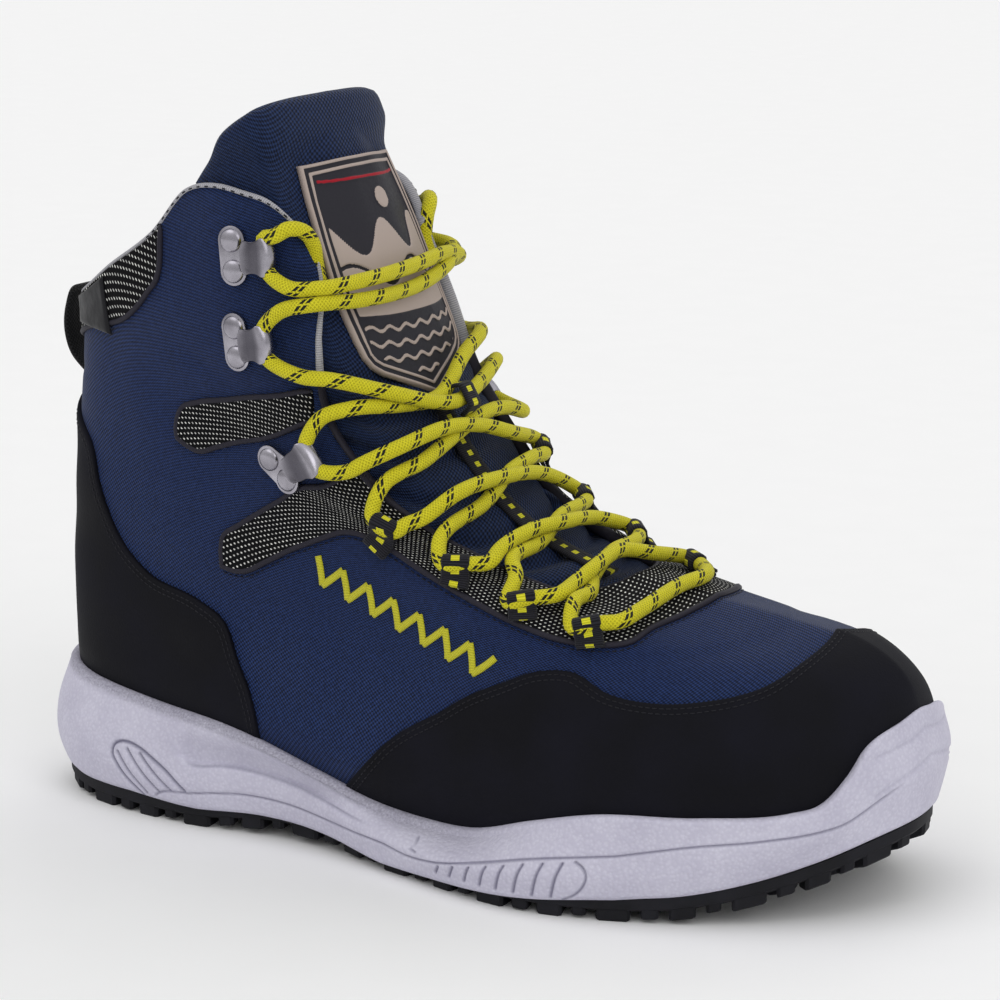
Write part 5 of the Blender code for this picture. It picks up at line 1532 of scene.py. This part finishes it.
lugs = []
for side in (-1, 1):
    fine = np.linspace(.004, .996, 1500)
    line_xy = plan(fine, side, 1.6)
    run = run_of(line_xy)
    start, turn_of = 2.0, 0
    while start < run[-1] - 6:
        long, short, deep = EDGE_LUGS[turn_of % 4]
        ends_at = np.interp([start, start + long], run, fine)
        inner_at = np.interp([start + 1.2, start + long - 1.2], run, fine)
        corners = np.concatenate([plan(ends_at, side, 1.6), plan(inner_at[::-1], side, 1.6 + deep)])
        lugs.append(lug(corners, short))
        start += long + GAP_BETWEEN
        turn_of += 1
for k, x in enumerate(np.arange(24.0, LENGTH - 20, 12.5)):
    tau = np.arccos(1 - 2 * (x / LENGTH - SOLE[0][0]) / (SOLE[0][1] - SOLE[0][0])) / np.pi
    low, high = [float(plan(np.array([tau]), side, 14.0)[0, 1]) for side in (-1, 1)]
    count = max(1, int((high - low) / 13.5))
    for y in (np.arange(count) + .5) / count * (high - low) + low + (2.2 if k % 2 else -2.2):
        angles = np.radians(np.arange(6) * 60 + (15 if k % 2 else -15))
        lugs.append(lug(np.stack([x + 5.2 * np.cos(angles), y + 5.4 * np.sin(angles)], -1), 0.0))
PLATE_TAU = np.linspace(0, 1, 161)
plate_rings = []
for inset, z in (
    (PLATE_IN + 1.2, PLATE_FOOT), (PLATE_IN, PLATE_FOOT + .9),
    (PLATE_IN, LUG + PLATE), (PLATE_IN + 1.3, LUG + PLATE),
):
    sides = []
    for side in (-1, 1):
        p = plan(PLATE_TAU, side, np.full(161, inset))
        sides.append(np.concatenate([p, (ground(p[:, 0]) + z)[:, None]], 1))
    plate_rings.append(np.concatenate([sides[0], sides[1][-2:0:-1]]))
n_plate = len(plate_rings[0])
plate_faces = grid_faces(4, n_plate, wrap=True)
plate_faces += strip_cap(0, n_plate, 161, True) + strip_cap(3, n_plate, 161, False)
lugs.append((np.concatenate(plate_rings), plate_faces, np.zeros((4 * n_plate, 2))))
outsole = piece("outsole_lugged", *joined(lugs)[:2], None, rubber, "outsole_rubber", smooth=False)
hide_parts("outsole")

felt = finish_of("needle_felt_black", "#17171b", .95, Sheen_Weight=.1, Specular_IOR_Level=.1)
place = node(felt, "TexCoord").outputs["Object"]
fluff = node(felt, "TexNoise", at={"Vector": place, "Scale": 1100.0, "Detail": 6.0})
two_tone(felt, fluff, "#101013", "#26262b", .3)
board = bpy.data.objects["insole"].data
board.materials.clear()
board.materials.append(felt)

# Pull loop and side label
# A loop of black webbing 15 mm wide is sewn in at the heel of the collar. Beside it a short folded satin
# label is caught in the same seam; it is plain.
PULL_WIDE = 15.0
PULL = [
    (11.25, .05), (11.48, .27), (11.42, .52), (10.9, .68), (10.1, .68), (9.5, .49), (9.15, .22), (8.95, .02),
]
plain_webbing = finish_of("polyester_webbing_black", "#1c1c1d", .85, Sheen_Weight=.08, Specular_IOR_Level=.12)
u, v = uv_axes(plain_webbing)
rib = ripple(plain_webbing, u, 4.4)
rib = node(plain_webbing, "Math", rib, ripple(plain_webbing, v, 4.4), operation="MULTIPLY")
rib = node(plain_webbing, "MapRange", rib, -1.0, 1.0)
two_tone(plain_webbing, rib, "#101010", "#2f2f31", .25)
path = []
for row, share in PULL:
    point = last(0.0, row)
    path.append([point[0] - .3 - share * PULL_WIDE, 0, point[2]])
webbing_shape = band(rounded(path, 60), PULL_WIDE, 1.7, np.array([0, 1.0, 0]))
pull = piece("pull_loop_web", *webbing_shape, plain_webbing, "webbing")
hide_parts("pull_loop")

satin = finish_of("folded_satin_black", "#111114", .5, Sheen_Weight=.05, Specular_IOR_Level=.2)
floats = node(satin, "MapRange", ripple(satin, uv_axes(satin)[1], 14.0), -1.0, 1.0)
place = node(satin, "TexCoord").outputs["Object"]
crumple = node(satin, "TexNoise", at={"Vector": place, "Scale": 260.0, "Detail": 2.0})
wear(satin, colour=node(satin, "Mix", floats, at={6: "#0e0e11", 7: "#1a1a1f"}, data_type="RGBA"),
     rough=node(satin, "MapRange", crumple, .3, .7, .34, .5), height=crumple, depth=.25)
tau = np.linspace(.17, .30, 30)
share = np.linspace(0, 1, 30)
top = curve(COLLAR, tau)
row = 10.85 + (top[None, :] - .12 - 10.85) * share[:, None]
th = tau[None, :] + 0 * row
edge = np.minimum(share[:, None], 1 - share[:, None]) * 14
edge = np.minimum(edge, np.minimum(tau - .17, .30 - tau)[None, :] * 120)
height = .35 + .9 * np.sqrt(1 - (1 - np.clip(edge / 1.0, 0, 1)) ** 2)
height = height + .3 * np.sin(share[:, None] * 5 + 1) * np.clip(edge / 2, 0, 1)
label = piece("side_label_folded", *sheet(th, row, height + .9), satin, "webbing", wall=.8)
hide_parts("side_label")

# Embroidered motif
# A plain row of leaning strokes in yellow rayon satin stitch, 9 mm high, worked over the quarter.
rayon = finish_of("rayon_satin_stitch_yellow", "#c3bd1e", .45, Sheen_Weight=.1, Specular_IOR_Level=.3)
floss = node(rayon, "MapRange", ripple(rayon, uv_axes(rayon)[0], 13.0), -1.0, 1.0)
two_tone(rayon, floss, "#9d9a12", "#d9d32a", .12)
MOTIF = np.array([(.484, 5.72), (.508, 5.42), (.535, 5.08), (.562, 4.76), (.588, 4.47), (.604, 4.30)])
centre_line = curve_of(MOTIF, 90)
per_mm = aside(centre_line, 1.0) - centre_line
strokes = []
STROKES = 14
for k in range(STROKES):
    at = np.linspace(k / STROKES, (k + 1) / STROKES, 16) * 89
    sway = np.linspace(-1, 1, 16) * (1 if k % 2 else -1) * 3.9
    places = between(centre_line, np.arange(90), at) + between(per_mm, np.arange(90), at) * sway[:, None]
    strokes.append(trim(places, oval(1.2, .62, 10), .15))
piece("quarter_embroidery", *joined(strokes), rayon, "upper_nylon")
